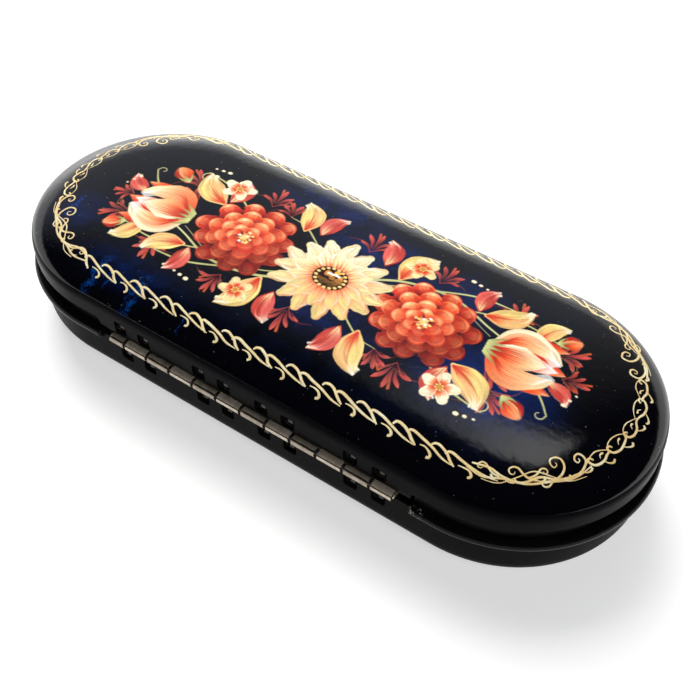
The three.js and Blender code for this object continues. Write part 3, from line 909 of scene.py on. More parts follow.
def smooth_line(points, spacing):
    """A smooth curve through points, evenly sampled, with at least eight samples."""
    p = np.asarray(points, float)
    length = np.linalg.norm(np.diff(p, axis=0), axis=1).sum()
    p = np.vstack([2 * p[0] - p[1], p, 2 * p[-1] - p[-2]])
    out = []
    for i in range(1, len(p) - 2):
        t = np.linspace(0, 1, 16, endpoint=False)[:, None]
        a, b, c, d = p[i - 1], p[i], p[i + 1], p[i + 2]
        square, cube = 2 * a - 5 * b + 4 * c - d, 3 * b - a - 3 * c + d
        out.append(0.5 * (2 * b + (c - a) * t + square * t**2 + cube * t**3))
    out = np.vstack(out + [p[-2][None]])
    step = np.r_[0, np.cumsum(np.linalg.norm(np.diff(out, axis=0), axis=1))]
    at = np.linspace(0, step[-1], max(8, int(length / spacing)))
    return np.stack([np.interp(at, step, out[:, k]) for k in range(out.shape[1])], 1)


# The gold border

RING_REACH = 27.4
RING_HALF = 46.0
RING_PLACE = (0.5, 1.4)
UNIT = 8.5
END_UNIT = 5.8
end_arc = math.pi * RING_REACH
ring_length = 4 * RING_HALF + 2 * end_arc


def ring_point(s, v):
    """Plan place on the border: s along it from the front left, v towards the middle."""
    s = np.mod(s, ring_length)
    side = 2 * RING_HALF
    reach = RING_REACH - v
    square = math.pi / 2
    legs = [s < side, s < side + end_arc, s < 2 * side + end_arc, s <= ring_length]
    centre = np.select(legs, [s - RING_HALF, RING_HALF, RING_HALF - (s - side - end_arc), -RING_HALF])
    right = math.pi * ((s - side) / end_arc - 0.5)
    left = math.pi * ((s - 2 * side - end_arc) / end_arc + 0.5)
    angle = np.select(legs, [-square, right, square, left])
    return np.stack([centre + reach * np.cos(angle), reach * np.sin(angle)], -1) + RING_PLACE


# Widths along a stroke of the border
EVEN = ((0, 0.7), (0.12, 1.0), (0.8, 1.0), (1, 0.6))
SWELLING = ((0, 0.4), (0.5, 0.8), (0.8, 1.25), (1, 1.0))
TAPER = ((0, 1.0), (0.3, 1.0), (0.8, 0.75), (1, 0.3))
FINE = ((0, 0.5), (0.5, 1.0), (1, 0.5))

# Strokes of the border
HOOK = [(-0.3, 0.55), (0.05, 1.15), (0.9, 1.4), (2.0, 1.1), (3.2, 0.45), (4.3, -0.45), (5.6, -1.2)]
LONG = [(3.0, 0.3), (3.3, 0.95), (4.2, 1.15), (6.0, 0.7), (8.6, -0.1), (11.2, -0.85), (13.8, -1.25)]
COMMA = [(6.2, -0.55), (7.4, -0.5), (8.4, -0.85), (9.0, -1.5), (8.9, -1.95), (8.45, -2.05)]
ESS = [(1.2, 0.5), (0.7, 1.1), (0.1, 1.0), (0.0, 0.3), (0.7, -0.5), (2.0, -0.9), (3.6, -0.6), (4.9, 0.0),
       (6.2, 0.3)]
ARCH = [(-0.6, 0.3), (0.9, 1.6), (2.7, 2.0), (4.6, 1.5), (6.0, 0.6)]
TICK = [(3.0, -0.7), (3.9, -1.6), (5.0, -2.0), (5.6, -1.6)]
DASH = [(2.8, 0.2), (3.4, 0.8), (4.3, 0.8)]
VOLUTE = [(-5.2, -1.1), (-2.8, -0.9), (-0.6, 0.2), (0.8, 1.9), (0.9, 3.7), (-0.4, 4.9), (-2.1, 4.6),
          (-2.7, 3.3), (-1.9, 2.3), (-0.9, 2.8), (-1.2, 3.6)]
CURL = [(4.4, -1.1), (2.4, -0.6), (0.9, 0.6), (-0.3, 1.9), (-1.9, 2.3), (-2.9, 1.4), (-2.5, 0.4), (-1.5, 0.4),
        (-1.4, 1.1)]
LEAFLET = [(1.6, -1.2), (3.0, -2.2), (4.6, -2.3), (5.4, -1.7), (5.0, -1.0)]
RUN = [(-13.0, -0.2), (-9.5, -1.2), (-5.5, -0.9), (-1.5, -1.6), (3.0, -1.3), (7.5, -1.5), (12.0, -0.6)]
WEAVE = [(-12.0, 0.9), (-8.6, 0.9), (-5.6, -0.5), (-2.2, -1.3), (1.4, -0.3), (5.0, -1.1), (9.5, -0.9)]
THREAD = [(-9.5, -1.7), (-6.4, -1.8), (-3.0, -0.2), (0.2, 0.9), (3.2, 0.0), (6.5, -1.8), (10.0, -1.9)]

# What repeats along the sides and round the ends: stroke, width and brush
SIDE_MARKS = ((HOOK, 0.62, EVEN), (LONG, 0.64, TAPER), (COMMA, 0.55, SWELLING))
END_MARKS = ((ESS, 0.52, EVEN), (ARCH, 0.3, FINE), (TICK, 0.42, SWELLING), (DASH, 0.4, SWELLING))
# The flourish at a corner: stroke, place, scale, lift, width, brush, way and height
CORNER_MARKS = (
    (VOLUTE, 6.0, 0.78, -0.4, 0.55, TAPER, 1, 1.0), (VOLUTE, 11.0, 0.62, -0.3, 0.5, TAPER, 1, 1.0),
    (CURL, -2.5, 0.75, 0.0, 0.5, TAPER, 1, 1.0), (CURL, 1.5, 0.55, 0.2, 0.42, TAPER, -1, 1.0),
    (CURL, -9.0, 0.65, 0.1, 0.45, TAPER, 1, 1.0), (CURL, 3.0, 0.5, -1.2, 0.42, TAPER, 1, -0.8),
    (RUN, 0.0, 1.0, 0.0, 0.5, EVEN, 1, 1.0), (WEAVE, 0.0, 1.0, 0.0, 0.55, EVEN, 1, 1.0),
    (THREAD, 0.0, 1.0, 0.0, 0.34, FINE, 1, 1.0),
)
LEAFLET_PLACES = ((-11.0, 0.2), (-6.5, 0.0), (-1.0, 0.3), (4.0, 0.0), (8.5, 0.2))


def border_strokes():
    """The border's strokes as (points, width, brush), in the border's own measure."""
    strokes = []

    def put(points, s, scale, lift, width, brush, way=1, tall=1.0):
        made = np.array([(s + scale * way * u, tall * scale * v + lift) for u, v in points])
        made += rng.normal(0, 0.06, made.shape)
        strokes.append((made, width * rng.uniform(0.92, 1.1), brush))

    side = 2 * RING_HALF
    corners = [-17.0, side + 17.0, side + end_arc - 18, 2 * side + end_arc + 18]
    for k, corner in enumerate(corners):
        following = corners[k + 1] if k < 3 else ring_length + corners[0]
        at_end = k % 2
        unit, marks, clear = (END_UNIT, END_MARKS, 12) if at_end else (UNIT, SIDE_MARKS, 9)
        length = following - 12 - (corner + clear)
        count = round(length / unit)
        pitch = length / count
        for i in range(count):
            s = corner + clear + i * pitch + rng.uniform(-0.2, 0.2)
            scale = pitch / unit * rng.uniform(0.96, 1.04)
            lift = rng.uniform(-0.15, 0.15)
            mirrored = at_end and 2 * i >= count
            for points, width, brush in marks:
                put(points, s + pitch * mirrored, scale, lift, width, brush, -1 if mirrored else 1)
    for k, s in enumerate(corners):
        out = 1 if k % 2 else -1
        for points, off, scale, lift, width, brush, way, tall in CORNER_MARKS:
            put(points, s + off * out, scale, lift, width, brush, way * out, tall)
        for off, lift in LEAFLET_PLACES:
            put(LEAFLET, s + off * out, 0.6, lift, 0.42, SWELLING, out)
    return strokes


def along_line(line):
    """The unit way at each point of a line on the plan."""
    tangent = np.gradient(line, axis=0)
    return tangent / np.maximum(np.linalg.norm(tangent, axis=1, keepdims=True), TINY)


def ribbons(strokes):
    """Closed raised ribbons along strokes given in the border's own measure, with painted shade towards their
    edges.
    """
    # Each row of the section: across, up, and the share of light, which is painted shade: dark at the edges,
    # full along the top.
    section = ((-1.0, -0.05, 0.1), (-0.96, 0.35, 0.35), (-0.5, 0.9, 1.0), (0.5, 0.9, 1.0), (0.96, 0.35, 0.35),
               (1.0, -0.05, 0.1))
    n = len(section)
    verts, faces, lit_cores = [], [], []
    base = 0
    for points, width, brush in strokes:
        plan = ring_point(*smooth_line(points, 0.28).T)
        count = len(plan)
        half = width / 2 * np.interp(np.linspace(0, 1, count), *zip(*brush))
        way = along_line(plan)
        normal = np.stack([-way[:, 1], way[:, 0]], 1)
        ends = np.minimum(np.minimum(np.arange(count), np.arange(count)[::-1]) / 1.5, 1)
        for across, up, core in section:
            lift = BORDER_RISE * up * ends + PAINT_EDGE if up > 0 else np.full(count, -0.04)
            verts.append(on_lid(plan + normal * (half * across)[:, None], lift))
            lit_cores.append(np.full(count, core))
        for j in range(n):
            low, high = base + j * count, base + (j + 1) % n * count
            faces += [(low + i, low + i + 1, high + i + 1, high + i) for i in range(count - 1)]
        feet = range(base, base + n * count, count)
        faces += [feet, [f + count - 1 for f in feet][::-1]]
        base += n * count
    obj = tidy(temp(np.vstack(verts), faces), merged=False)
    layer = obj.data.color_attributes.new("core", "FLOAT_COLOR", "POINT")
    layer.data.foreach_set("color", np.repeat(np.concatenate(lit_cores), 4))
    return obj


place(ribbons(border_strokes()), "lid_border", gold, "lid", None, (), 60)


# The painted flowers

LATTICE = rng.random((256, 256))


def soft_noise(u, v):
    iu, iv = np.floor(u).astype(int), np.floor(v).astype(int)
    fu, fv = u - iu, v - iv
    fu, fv = fu * fu * (3 - 2 * fu), fv * fv * (3 - 2 * fv)
    a, c = LATTICE[iu & 255, iv & 255], LATTICE[iu & 255, (iv + 1) & 255]
    b, d = LATTICE[(iu + 1) & 255, iv & 255], LATTICE[(iu + 1) & 255, (iv + 1) & 255]
    return (a * (1 - fu) + b * fu) * (1 - fv) + (c * (1 - fu) + d * fu) * fv


def tone(code):
    return np.array([int(code[i:i + 2], 16) for i in (0, 2, 4)]) / 255


CREAM, IVORY, BUTTER, WHITE = tone("FFF1CC"), tone("FDE0A4"), tone("F6D683"), tone("FFFFFF")
PEACH, CORAL, ORANGE, OCHRE = tone("FBAE78"), tone("F9703C"), tone("F04E20"), tone("D08B32")
RED, CRIMSON, MAROON, UMBER = tone("DA3519"), tone("A81C12"), tone("4A0A09"), tone("2A0A08")
ROSE, DUSTY = tone("DC5A50"), tone("BC4240")
GREEN, OLIVE, SAGE = tone("C9CC86"), tone("7F8746"), tone("E3E2AE")

CELL = 0.15
LEFT, RIGHT, NEAR, BACK = -62.0, 63.0, -21.5, 21.5
THIN_COVER = 1e-6
LEAST_COVER = 0.015

# Widths along a stroke of the painting
PETAL = ((0, 0.25), (0.25, 0.6), (0.6, 1.0), (0.85, 0.92), (1, 0.55))
POINTED = ((0, 0.3), (0.3, 0.85), (0.55, 1.0), (0.85, 0.5), (1, 0.05))
BROAD = ((0, 0.35), (0.3, 0.8), (0.7, 1.0), (1, 0.75))
PRESSED = ((0, 1.0), (0.2, 0.95), (0.6, 0.5), (1, 0.06))
LINE = ((0, 0.9), (0.5, 1.0), (1, 0.35))
HAIR = ((0, 0.7), (0.5, 1.0), (1, 0.2))
SLIM = ((0, 0.35), (0.12, 0.9), (0.3, 1.0), (0.7, 0.5), (1, 0.1))
SCALLOP = ((0, 0.2), (0.5, 1), (1, 0.2))
ROUND = ((0, 1), (1, 1))


class Canvas:
    """A painting on the lid's plan: colour, cover and thickness of the paint at each place."""

    def __init__(self):
        self.x = np.arange(LEFT, RIGHT + CELL / 2, CELL)
        self.y = np.arange(NEAR, BACK + CELL / 2, CELL)
        shape = (len(self.y), len(self.x))
        self.rgb = np.zeros((*shape, 3))
        self.cover = np.zeros(shape)
        self.thick = np.zeros(shape)

    def window(self, points, margin):
        """The part of the canvas about some points, and its places."""
        low, high = points.min(0) - margin, points.max(0) + margin
        i0, i1 = np.searchsorted(self.x, (low[0], high[0]))
        j0, j1 = np.searchsorted(self.y, (low[1], high[1]))
        return (slice(j0, j1), slice(i0, i1)), *np.meshgrid(self.x[i0:i1], self.y[j0:j1])

    def lay(self, where, rgb, alpha, body):
        a = alpha[..., None]
        held = self.cover[where][..., None]
        total = a + held * (1 - a)
        mixed = (rgb * a + self.rgb[where] * held * (1 - a)) / np.maximum(total, THIN_COVER)
        self.rgb[where] = np.where(total > THIN_COVER, mixed, rgb)
        self.cover[where] = total[..., 0]
        self.thick[where] = self.thick[where] * (1 - 0.75 * alpha) + body * alpha

    def stroke(self, points, width, brush, tones, side=None, streaks=0.16, dry=0.0, load=1.0):
        """One brush stroke. tones run along it, and side tints its left edge."""
        line = smooth_line(points, 0.22)
        t = np.linspace(0, 1, len(line))
        half = width / 2 * np.interp(t, *zip(*brush))
        where, gx, gy = self.window(line, half.max() + 2 * CELL)
        if not gx.size:
            return
        gap = (gx[..., None] - line[:, 0]) ** 2 + (gy[..., None] - line[:, 1]) ** 2
        near = gap.argmin(-1)
        dx, dy = gx - line[near, 0], gy - line[near, 1]
        far = np.sqrt(dx * dx + dy * dy)
        tangent = np.gradient(line, axis=0)[near]
        cross = tangent[..., 0] * dy - tangent[..., 1] * dx
        w = np.maximum(half[near], 0.05)
        v = np.clip(far / w, 0, 1.5) * np.sign(cross)
        u = t[near]
        seed = rng.uniform(0, 200)
        bristle = soft_noise(v * 3.5 + seed, u * 2.0 + seed) * 0.6 + soft_noise(v * 9 + seed, u * 3.0) * 0.4
        alpha = np.clip((w - far) / (1.3 * CELL) + 0.5, 0, 1) * load
        if dry:
            gaps = np.clip((soft_noise(v * 7 + seed, u * 2.5 + 9) - 0.35) * 3.2, 0, 1)
            alpha = alpha * (1 - dry * np.clip((u - 0.35) / 0.6, 0, 1) * gaps)
        stops, shades = zip(*tones)
        rgb = np.stack([np.interp(u, stops, [s[k] for s in shades]) for k in range(3)], -1)
        if side is not None:
            share = np.clip((v + 0.15) * 0.9 + (bristle - 0.5) * 0.5, 0, 1)[..., None]
            rgb = rgb * (1 - share) + side * share
        rgb = np.clip(rgb * (1 + (bristle[..., None] - 0.5) * 2 * streaks), 0, 1)
        body = 0.030 * np.sqrt(np.clip(1 - v * v, 0, 1)) + 0.014 * (bristle - 0.5)
        self.lay(where, rgb, alpha, np.clip(body, PAINT_EDGE, None))

    def brush(self, x, y, heading=0.0, size=1.0, squash=1.0):
        """A brush for lines in a flower's own measure, which turns, sizes, flattens and places them."""
        def draw(points, width, brush, *tones, turn=0.0, **how):
            a = math.radians(heading + turn)
            p, q = np.asarray(points, float).T * size
            across, up = p * math.cos(a) - q * math.sin(a), p * math.sin(a) + q * math.cos(a)
            line = np.stack([x + across, y + up * squash], 1)
            self.stroke(line, width * size, brush, tones, **how)

        return draw

    def dab(self, x, y, size, shade, reach=0.0, angle=0.0, squash=1.0):
        """A round dab at a place, or at a reach and an angle from it."""
        x, y = x + reach * math.cos(angle), y + reach * math.sin(angle) * squash
        ends = [(x - size * 0.15, y), (x, y), (x + size * 0.15, y)]
        self.stroke(ends, size, ROUND, [(0, shade), (1, shade)], streaks=0.04)

    def dabs(self, x, y, reach, count, size, shade, squash=1.0):
        """A ring of dabs."""
        for a in 2 * math.pi * np.arange(count) / count:
            self.dab(x, y, size, shade, reach, a, squash)

    def glow(self, x, y, wide, shade, load):
        """A soft airy patch under the flowers."""
        where, gx, gy = self.window(np.array([(x, y)]), wide)
        far = np.hypot(gx - x, gy - y) / wide
        alpha = np.clip(1 - far, 0, 1) ** 1.6 * load * (0.7 + 0.6 * (soft_noise(gx * 0.9, gy * 0.9) - 0.5))
        self.lay(where, shade, np.clip(alpha, 0, 1), PAINT_EDGE)


def wobble(value, share=0.08):
    return value * rng.uniform(1 - share, 1 + share)


def sunlit(degrees, bright):
    """One for a petal that points to the bright side, nothing for one that points away."""
    return 0.5 + 0.5 * math.cos(math.radians(degrees - bright))


def blend(first, second, share):
    return first * share + second * (1 - share)


def daisy(c, x, y, size, petals, squash=0.88):
    """A many-petalled open flower with a seed head."""
    draw = c.brush(x, y, 0.0, size, squash)
    c.glow(x, y, size * 1.05, UMBER, 0.8)
    for ring, (reach, start, width) in enumerate(((1.0, 0.2, 0.30), (0.72, 0.15, 0.25))):
        for i in range(petals):
            a = 360 / petals * (i + 0.5 * ring) + rng.uniform(-3, 3)
            far = reach * rng.uniform(0.93, 1.04)
            bend = rng.uniform(-0.08, 0.08) * far
            sunny = sunlit(a, 115)
            tip, mid = blend(CREAM, BUTTER, sunny), blend(IVORY, PEACH, sunny)
            draw([(start, 0), (0.6 * far, bend), (far, 0)], width, PETAL, (0, CRIMSON), (0.22, CORAL),
                 (0.5, mid), (0.8, tip), (1, tip), turn=a, side=mid, dry=0.2)
            for off in (-0.07, 0.0, 0.07):
                draw([(start, off * 0.3), (0.45 * far, off + bend), (0.74 * far, off * 1.1)], 0.045, PRESSED,
                     (0, CRIMSON), (1, CORAL), turn=a, load=0.6)
            draw([(0.5 * far, 0.1), (0.8 * far, 0.11), (0.97 * far, 0.02)], 0.06, HAIR, (0, CREAM),
                 (1, WHITE), turn=a, load=0.35 + 0.6 * sunny)
    head = 0.25 * size
    c.dab(x, y, 2 * head, UMBER)
    for i in range(34):
        a, r = rng.uniform(0, 2 * math.pi), head * math.sqrt(rng.uniform(0, 0.8))
        seed = np.clip(OCHRE * (0.62 + 0.5 * (math.sin(a) * r / head)) * 1.3, 0, 1)
        c.dab(x, y, 0.075 * size, seed, r, a, squash)
    c.dabs(x, y, 1.08 * head, 17, 0.055 * size, BUTTER, squash)
    for i in range(6):
        high = y + 0.42 * head + rng.uniform(-0.25, 0.25)
        c.dab(x - 0.35 * head + 0.16 * i * head, high, 0.045 * size, WHITE)


# Rings of the peony: reach, petals, width and three colours
PEONY_RINGS = (
    (0.98, 11, 0.50, MAROON, CRIMSON, RED), (0.79, 10, 0.46, MAROON, RED, ORANGE),
    (0.59, 8, 0.42, CRIMSON, RED, CORAL), (0.38, 6, 0.36, CRIMSON, ORANGE, CORAL),
)


def peony(c, x, y, size, tilt):
    """A full round flower of overlapping scallops, dark between them and light along their rims."""
    draw = c.brush(x, y, 0.0, size, 0.92)
    c.glow(x, y, size * 1.15, MAROON * 0.6, 1.0)
    for k, (reach, count, width, dark, mid, light) in enumerate(PEONY_RINGS):
        for i in range(count):
            a = tilt + 360 / count * (i + 0.5 * (k % 2)) + rng.uniform(-5, 5)
            far = reach * rng.uniform(0.94, 1.05)
            start = max(far - 0.5, 0.03)
            sway = rng.uniform(-0.3, 0.3) / size
            sunny = sunlit(a, 125)
            shade, warm = blend(light, dark, 0.35 + 0.65 * sunny), blend(mid, dark, 0.55 + 0.45 * sunny)
            draw([(start, 0), ((start + far) / 2, sway), (far - 0.14, 0)], width, BROAD, (0, dark * 0.4),
                 (0.3, dark * 0.8), (0.7, warm), (1, shade), turn=a)
            draw([(far - 0.1, 0), (far - 0.22, 0), (far - 0.34, 0)], 0.2, PRESSED, (0, PEACH), (0.5, light),
                 (1, mid), turn=a, load=0.15 + 0.55 * sunny * rng.uniform(0.6, 1), dry=0.5, streaks=0.2)
            edge = blend(IVORY, light, 0.15 + 0.85 * sunny)
            rim = arc(far - 0.24, 0, 0.48 * width, -66, 66, 6)
            draw(rim, 0.06 * (0.6 + 0.8 * sunny), SCALLOP, (0, light), (0.5, edge), (1, light),
                 turn=a, load=0.5 + 0.45 * sunny)
    thread = c.brush(x, y, 0.0, size)
    for i in range(9):
        thread([(0.02, 0), (0.12, 0.02), (0.2, 0)], 0.06, PRESSED, (0, BUTTER), (1, ORANGE),
               turn=40 * i + rng.uniform(-8, 8))
    for i in range(12):
        a, r = rng.uniform(0, 2 * math.pi), size * 0.17 * math.sqrt(rng.uniform(0.1, 1))
        c.dab(x, y, 0.05 * size, BUTTER if i % 3 else WHITE, r, a)


def tulip(c, x, y, size, heading):
    """A cup of pointed petals, seen from the side, with its mouth towards the heading."""
    draw = c.brush(x, y, heading, size)
    for middle, end, width in (((0.5, 0.34), (1.0, 0.42), 0.34), ((0.5, -0.34), (1.0, -0.42), 0.34),
                               ((0.55, 0.05), (1.08, 0.0), 0.4)):
        draw([(0, 0), middle, end], width, POINTED, (0, MAROON), (0.4, CRIMSON), (0.8, ORANGE), (1, PEACH),
             side=RED, streaks=0.2)
    for way in (1, -1, 0):
        lean = 0.3 * way
        petal, width = [(0.02, 0), (0.4, 0.0), (0.8, 0.02)], 0.46
        if way:
            petal, width = [(0, 0), (0.32, 0.36 * way), (0.74, lean), (0.98, 0.16 * way)], 0.40
        draw(petal, width, POINTED, (0, RED), (0.25, CORAL), (0.55, PEACH), (0.8, IVORY), (1, CREAM),
             side=PEACH if way < 0 else CREAM, streaks=0.15, dry=0.15)
        for j in range(7):
            shift = (j - 3) * 0.035
            line = [(0.04, shift * 0.4), (0.28, shift + lean * 0.85),
                    (0.5 + 0.1 * (j % 2), shift * 1.2 + lean)]
            draw(line, 0.04, PRESSED, (0, CRIMSON), (0.6, RED), (1, CORAL), load=0.75, dry=0.4)
            line = [(0.96 - 0.03 * abs(j - 3), shift * 0.5 + lean * 0.45), (0.72, shift + lean * 0.95),
                    (0.56, shift + lean)]
            draw(line, 0.035, PRESSED, (0, WHITE), (1, CREAM), load=0.55 if way < 0 else 0.8, dry=0.5)
    for j in range(-2, 3):
        draw([(-0.04, j * 0.05), (0.08, j * 0.1), (0.2, j * 0.13)], 0.07, PRESSED, (0, GREEN), (1, OLIVE))


def blossom(c, x, y, size, tilt, light, dark):
    """A small five-petalled flower."""
    petal, rib = c.brush(x, y, tilt, size, 0.9), c.brush(x, y, tilt, size)
    for a in range(0, 360, 72):
        petal([(0.12, 0), (0.5, 0.03), (0.82, 0)], 0.72, BROAD, (0, CRIMSON), (0.4, dark), (0.75, light),
              (1, light), turn=a, side=light)
        for j in (-1, 0, 1):
            rib([(0.1, 0.03 * j), (0.35, 0.1 * j), (0.6, 0.16 * j)], 0.07, PRESSED, (0, CRIMSON), (1, dark),
                turn=a, load=0.75)
    c.dab(x, y, 0.34 * size, OCHRE)
    c.dabs(x, y, 0.2 * size, 7, 0.09 * size, BUTTER)


def leaf(c, x, y, length, heading, bend, red):
    """A leaf of loaded strokes about a rib, with streaks of red from its foot, or of cream on a red one."""
    body, under, streak = (ROSE, CRIMSON, IVORY) if red else (BUTTER, PEACH, RED)
    draw = c.brush(x, y, heading, length)
    for side in (-1, 1):
        half = body if side == 1 else blend(body, under, 0.55)
        draw([(0, 0), (0.3, 0.10 * bend + 0.12 * side), (0.65, 0.13 * bend + 0.11 * side), (1.02, 0.0)], 0.30,
             POINTED, (0, under), (0.3, half), (0.8, half), (1, CREAM), side=under if side < 0 else half,
             streaks=0.2, dry=0.2)
    for k in range(13):
        off = (k - 6) / 6
        reach = (0.78 - 0.3 * abs(off)) * rng.uniform(0.75, 1.1)
        line = [(0.03, 0.01 * off), (0.45 * reach, 0.10 * bend + 0.12 * off),
                (reach, 0.13 * bend + 0.19 * off)]
        draw(line, 0.045, PRESSED, (0, streak), (0.5, blend(streak, body, 0.6)), (1, body),
             load=0.75, dry=0.45)
    for k in range(8):
        off = rng.uniform(-1, 1)
        line = [(1.0 - 0.12 * abs(off), 0.10 * off), (0.8, 0.1 * bend + 0.15 * off),
                (0.55, 0.12 * bend + 0.19 * off)]
        draw(line, 0.04, PRESSED, (0, CREAM if k % 3 else WHITE), (1, body), load=0.7, dry=0.5)
    draw([(0, 0), (0.35, 0.10 * bend), (0.7, 0.13 * bend), (0.95, 0.02 * bend)], 0.02 + 0.12 / length, HAIR,
         (0, CRIMSON), (1, DUSTY), load=0.55)


def burst(c, x, y, length, heading):
    """A fan of comma strokes from one foot, with a hair or two between them."""
    half_fan = 46
    for i, share in enumerate((-1, -0.5, 0, 0.5, 1)):
        size = length * (1 - 0.32 * abs(share)) * rng.uniform(0.9, 1.08)
        a = heading + share * half_fan
        shade = DUSTY * rng.uniform(0.75, 1.05)
        draw = c.brush(x, y, a, size)
        draw([(1.0, 0.2 * share), (0.62, -0.05 * share), (0.12, 0)], 0.13 + 0.25 / size, SLIM, (0, ROSE),
             (0.4, shade), (1, DUSTY * 0.45), streaks=0.25, load=0.95, dry=0.3)
        if i % 2 == 0:
            draw = c.brush(x + 0.1, y + 0.15, a + 3, size)
            draw([(1.0, 0.12), (0.7, 0.05), (0.35, 0)], 0.07 + 0.12 / size, PRESSED, (0, CORAL), (1, DUSTY),
                 load=0.6)
    size = length * 0.9
    for share in (-1.25, 1.3):
        draw = c.brush(x, y, heading + share * half_fan, size)
        draw([(0, 0), (0.5, -0.10 * share), (0.85, 0.02 * share), (1.1, 0.26 * share)], 0.28 / size, HAIR,
             (0, DUSTY), (1, DUSTY * 0.7), load=0.8)


def tendril(c, points, width, curl):
    """A stem, with a curl of a given radius at its end. The sign of the curl is its way round."""
    points = [np.array(p, float) for p in points]
    if curl:
        ahead = points[-1] - points[-2]
        a0 = math.atan2(ahead[1], ahead[0])
        turn = math.copysign(1, curl)
        centre = points[-1] + curl * np.array([-math.sin(a0), math.cos(a0)])
        for k in range(1, 9):
            a = a0 - turn * math.pi / 2 + turn * k * 0.62
            points.append(centre + abs(curl) * (1 - 0.085 * k) * np.array([math.cos(a), math.sin(a)]))
    c.stroke(points, width, LINE, [(0, GREEN), (0.6, GREEN), (1, SAGE)], streaks=0.08)


def bud(c, x, y, size, heading):
    draw = c.brush(x, y, heading, size)
    for off, shade, side in ((0.22, CRIMSON, CRIMSON), (-0.22, ORANGE, ORANGE), (0.0, CORAL, PEACH)):
        draw([(0, 0), (0.5, off), (1.0, off * 0.3)], 0.42, POINTED, (0, CRIMSON), (0.5, shade), (1, PEACH),
             side=side)
    for off in (-0.25, 0, 0.25):
        draw([(-0.1, 0), (0.15, off), (0.45, off * 1.2)], 0.16, PRESSED, (0, GREEN), (1, OLIVE))


def dots(c, x, y, heading, size=0.75):
    for i in range(3):
        c.dab(x, y, size * (1.25 - 0.28 * i), CREAM, 1.9 * i, math.radians(heading))


# Stems: points, width and curl
STEMS = (
    ([(4, 2), (14, 8.5), (26, 10.5), (37, 7), (47, 4)], 0.7, 0),
    ([(5, 1), (15, 7), (27, 9), (38, 5)], 0.35, 0),
    ([(20, 9.5), (30, 14), (38, 15)], 0.5, -1.9), ([(30, 9), (42, 12.5), (51, 11.5)], 0.42, -1.6),
    ([(26, -6), (36, -12), (45, -14)], 0.5, 1.8), ([(8, -7), (14.5, -11.2), (19.5, -12)], 0.42, 0),
    ([(44, 2), (53, -3), (57, -7)], 0.42, -1.4),
)
# Leaves: place, length, heading, bend and whether red
LEAVES = (
    (13.0, 9.0, 11.5, 68, 1, False), (8.0, 11.0, 9.0, 112, -1, True), (14.0, -10.0, 11.0, -62, -1, False),
    (10.0, -11.0, 9.0, -108, 1, True), (35.5, -6.5, 12.0, -38, 1, False), (34.5, -8.0, 9.0, -82, -1, True),
    (34.5, 10.0, 10.5, 38, -1, False), (32.5, 10.5, 8.5, 82, 1, True), (47.0, 9.5, 8.5, 58, 1, False),
    (54.0, 0.5, 7.0, -32, 1, True),
)
# Bursts: place, length and heading
BURSTS = (
    (21.0, 13.0, 7.0, 78), (25.5, -12.5, 6.8, -86), (44.0, -8.0, 7.5, -50), (52.5, 8.5, 7.0, 30),
    (2.5, 12.5, 7.0, 92), (40.5, 11.5, 6.5, 88), (19.5, -12.0, 6.0, -62), (41.5, -3.5, 6.0, -25),
    (56.0, 3.0, 5.5, 8),
)


def paint_garland():
    """A garland that is the same when turned half round: daisy, two peonies, two tulips."""
    c = Canvas()
    for turn in (1, -1):
        def at(x, y):
            return turn * x + 1.0, turn * y

        def head(degrees):
            return degrees if turn > 0 else degrees + 180

        for x, y, length, heading in BURSTS:
            burst(c, *at(x, y), wobble(length), head(heading))
        for points, width, curl in STEMS:
            tendril(c, [at(*p) for p in points], width, curl)
        for x, y, length, heading, bend, red in LEAVES:
            leaf(c, *at(x, y), wobble(length, 0.05), head(heading), bend, red)
        tulip(c, *at(39.5, 2.2), 15.5, head(6))
        peony(c, *at(24.2, 0.3), 12.4, 15 * turn)
        blossom(c, *at(36.0, -13.2), 4.2, 20, CREAM, CORAL)
        blossom(c, *at(15.5, 14.8), 3.8, 50, IVORY, ORANGE)
        bud(c, *at(48.5, -8.5), 5.6, head(-30))
        bud(c, *at(51.5, 12.0), 4.8, head(35))
        dots(c, *at(42.0, -17.0), head(10))
        dots(c, *at(27.0, 18.2), head(-8))
        dots(c, *at(59.0, -3.0), head(70), 0.6)
    daisy(c, 1.0, 0.0, 13.2, 15)
    return c


def linear(rgb):
    return np.where(rgb <= 0.04045, rgb / 12.92, ((rgb + 0.055) / 1.055) ** 2.4)


def film(c):
    """The painting as a thin skin on the lid, kept only where there is paint."""
    painted = c.cover > LEAST_COVER
    cells = painted[:-1, :-1] | painted[1:, :-1] | painted[:-1, 1:] | painted[1:, 1:]
    index = np.arange(painted.size).reshape(painted.shape)
    quads = np.stack([index[:-1, :-1], index[:-1, 1:], index[1:, 1:], index[1:, :-1]], -1)[cells]
    used, faces, shared = np.unique(quads, return_inverse=True, return_counts=True)
    faces = faces.reshape(-1, 4)
    plan = np.stack(np.meshgrid(c.x, c.y), -1).reshape(-1, 2)[used]
    cover = np.clip(c.cover.ravel()[used], 0, 1)
    lift = np.where(shared < 4, PAINT_EDGE, FILM_LIFT + c.thick.ravel()[used] * cover)
    obj = temp(on_lid(plan, lift), faces)
    layer = obj.data.color_attributes.new("paint", "FLOAT_COLOR", "POINT")
    rgba = np.column_stack([linear(np.clip(c.rgb.reshape(-1, 3)[used], 0, 1)), cover])
    layer.data.foreach_set("color", rgba.ravel())
    uv = obj.data.uv_layers.new(name="OFBake")
    corner = ((plan - (LEFT, NEAR)) / (RIGHT - LEFT, BACK - NEAR))[faces.ravel()]
    uv.data.foreach_set("uv", corner.ravel())
    return obj


place(film(paint_garland()), "lid_painting", paint, "lid", None, (), 180)


# Camera, solved from the photograph's outline, hinge and holes

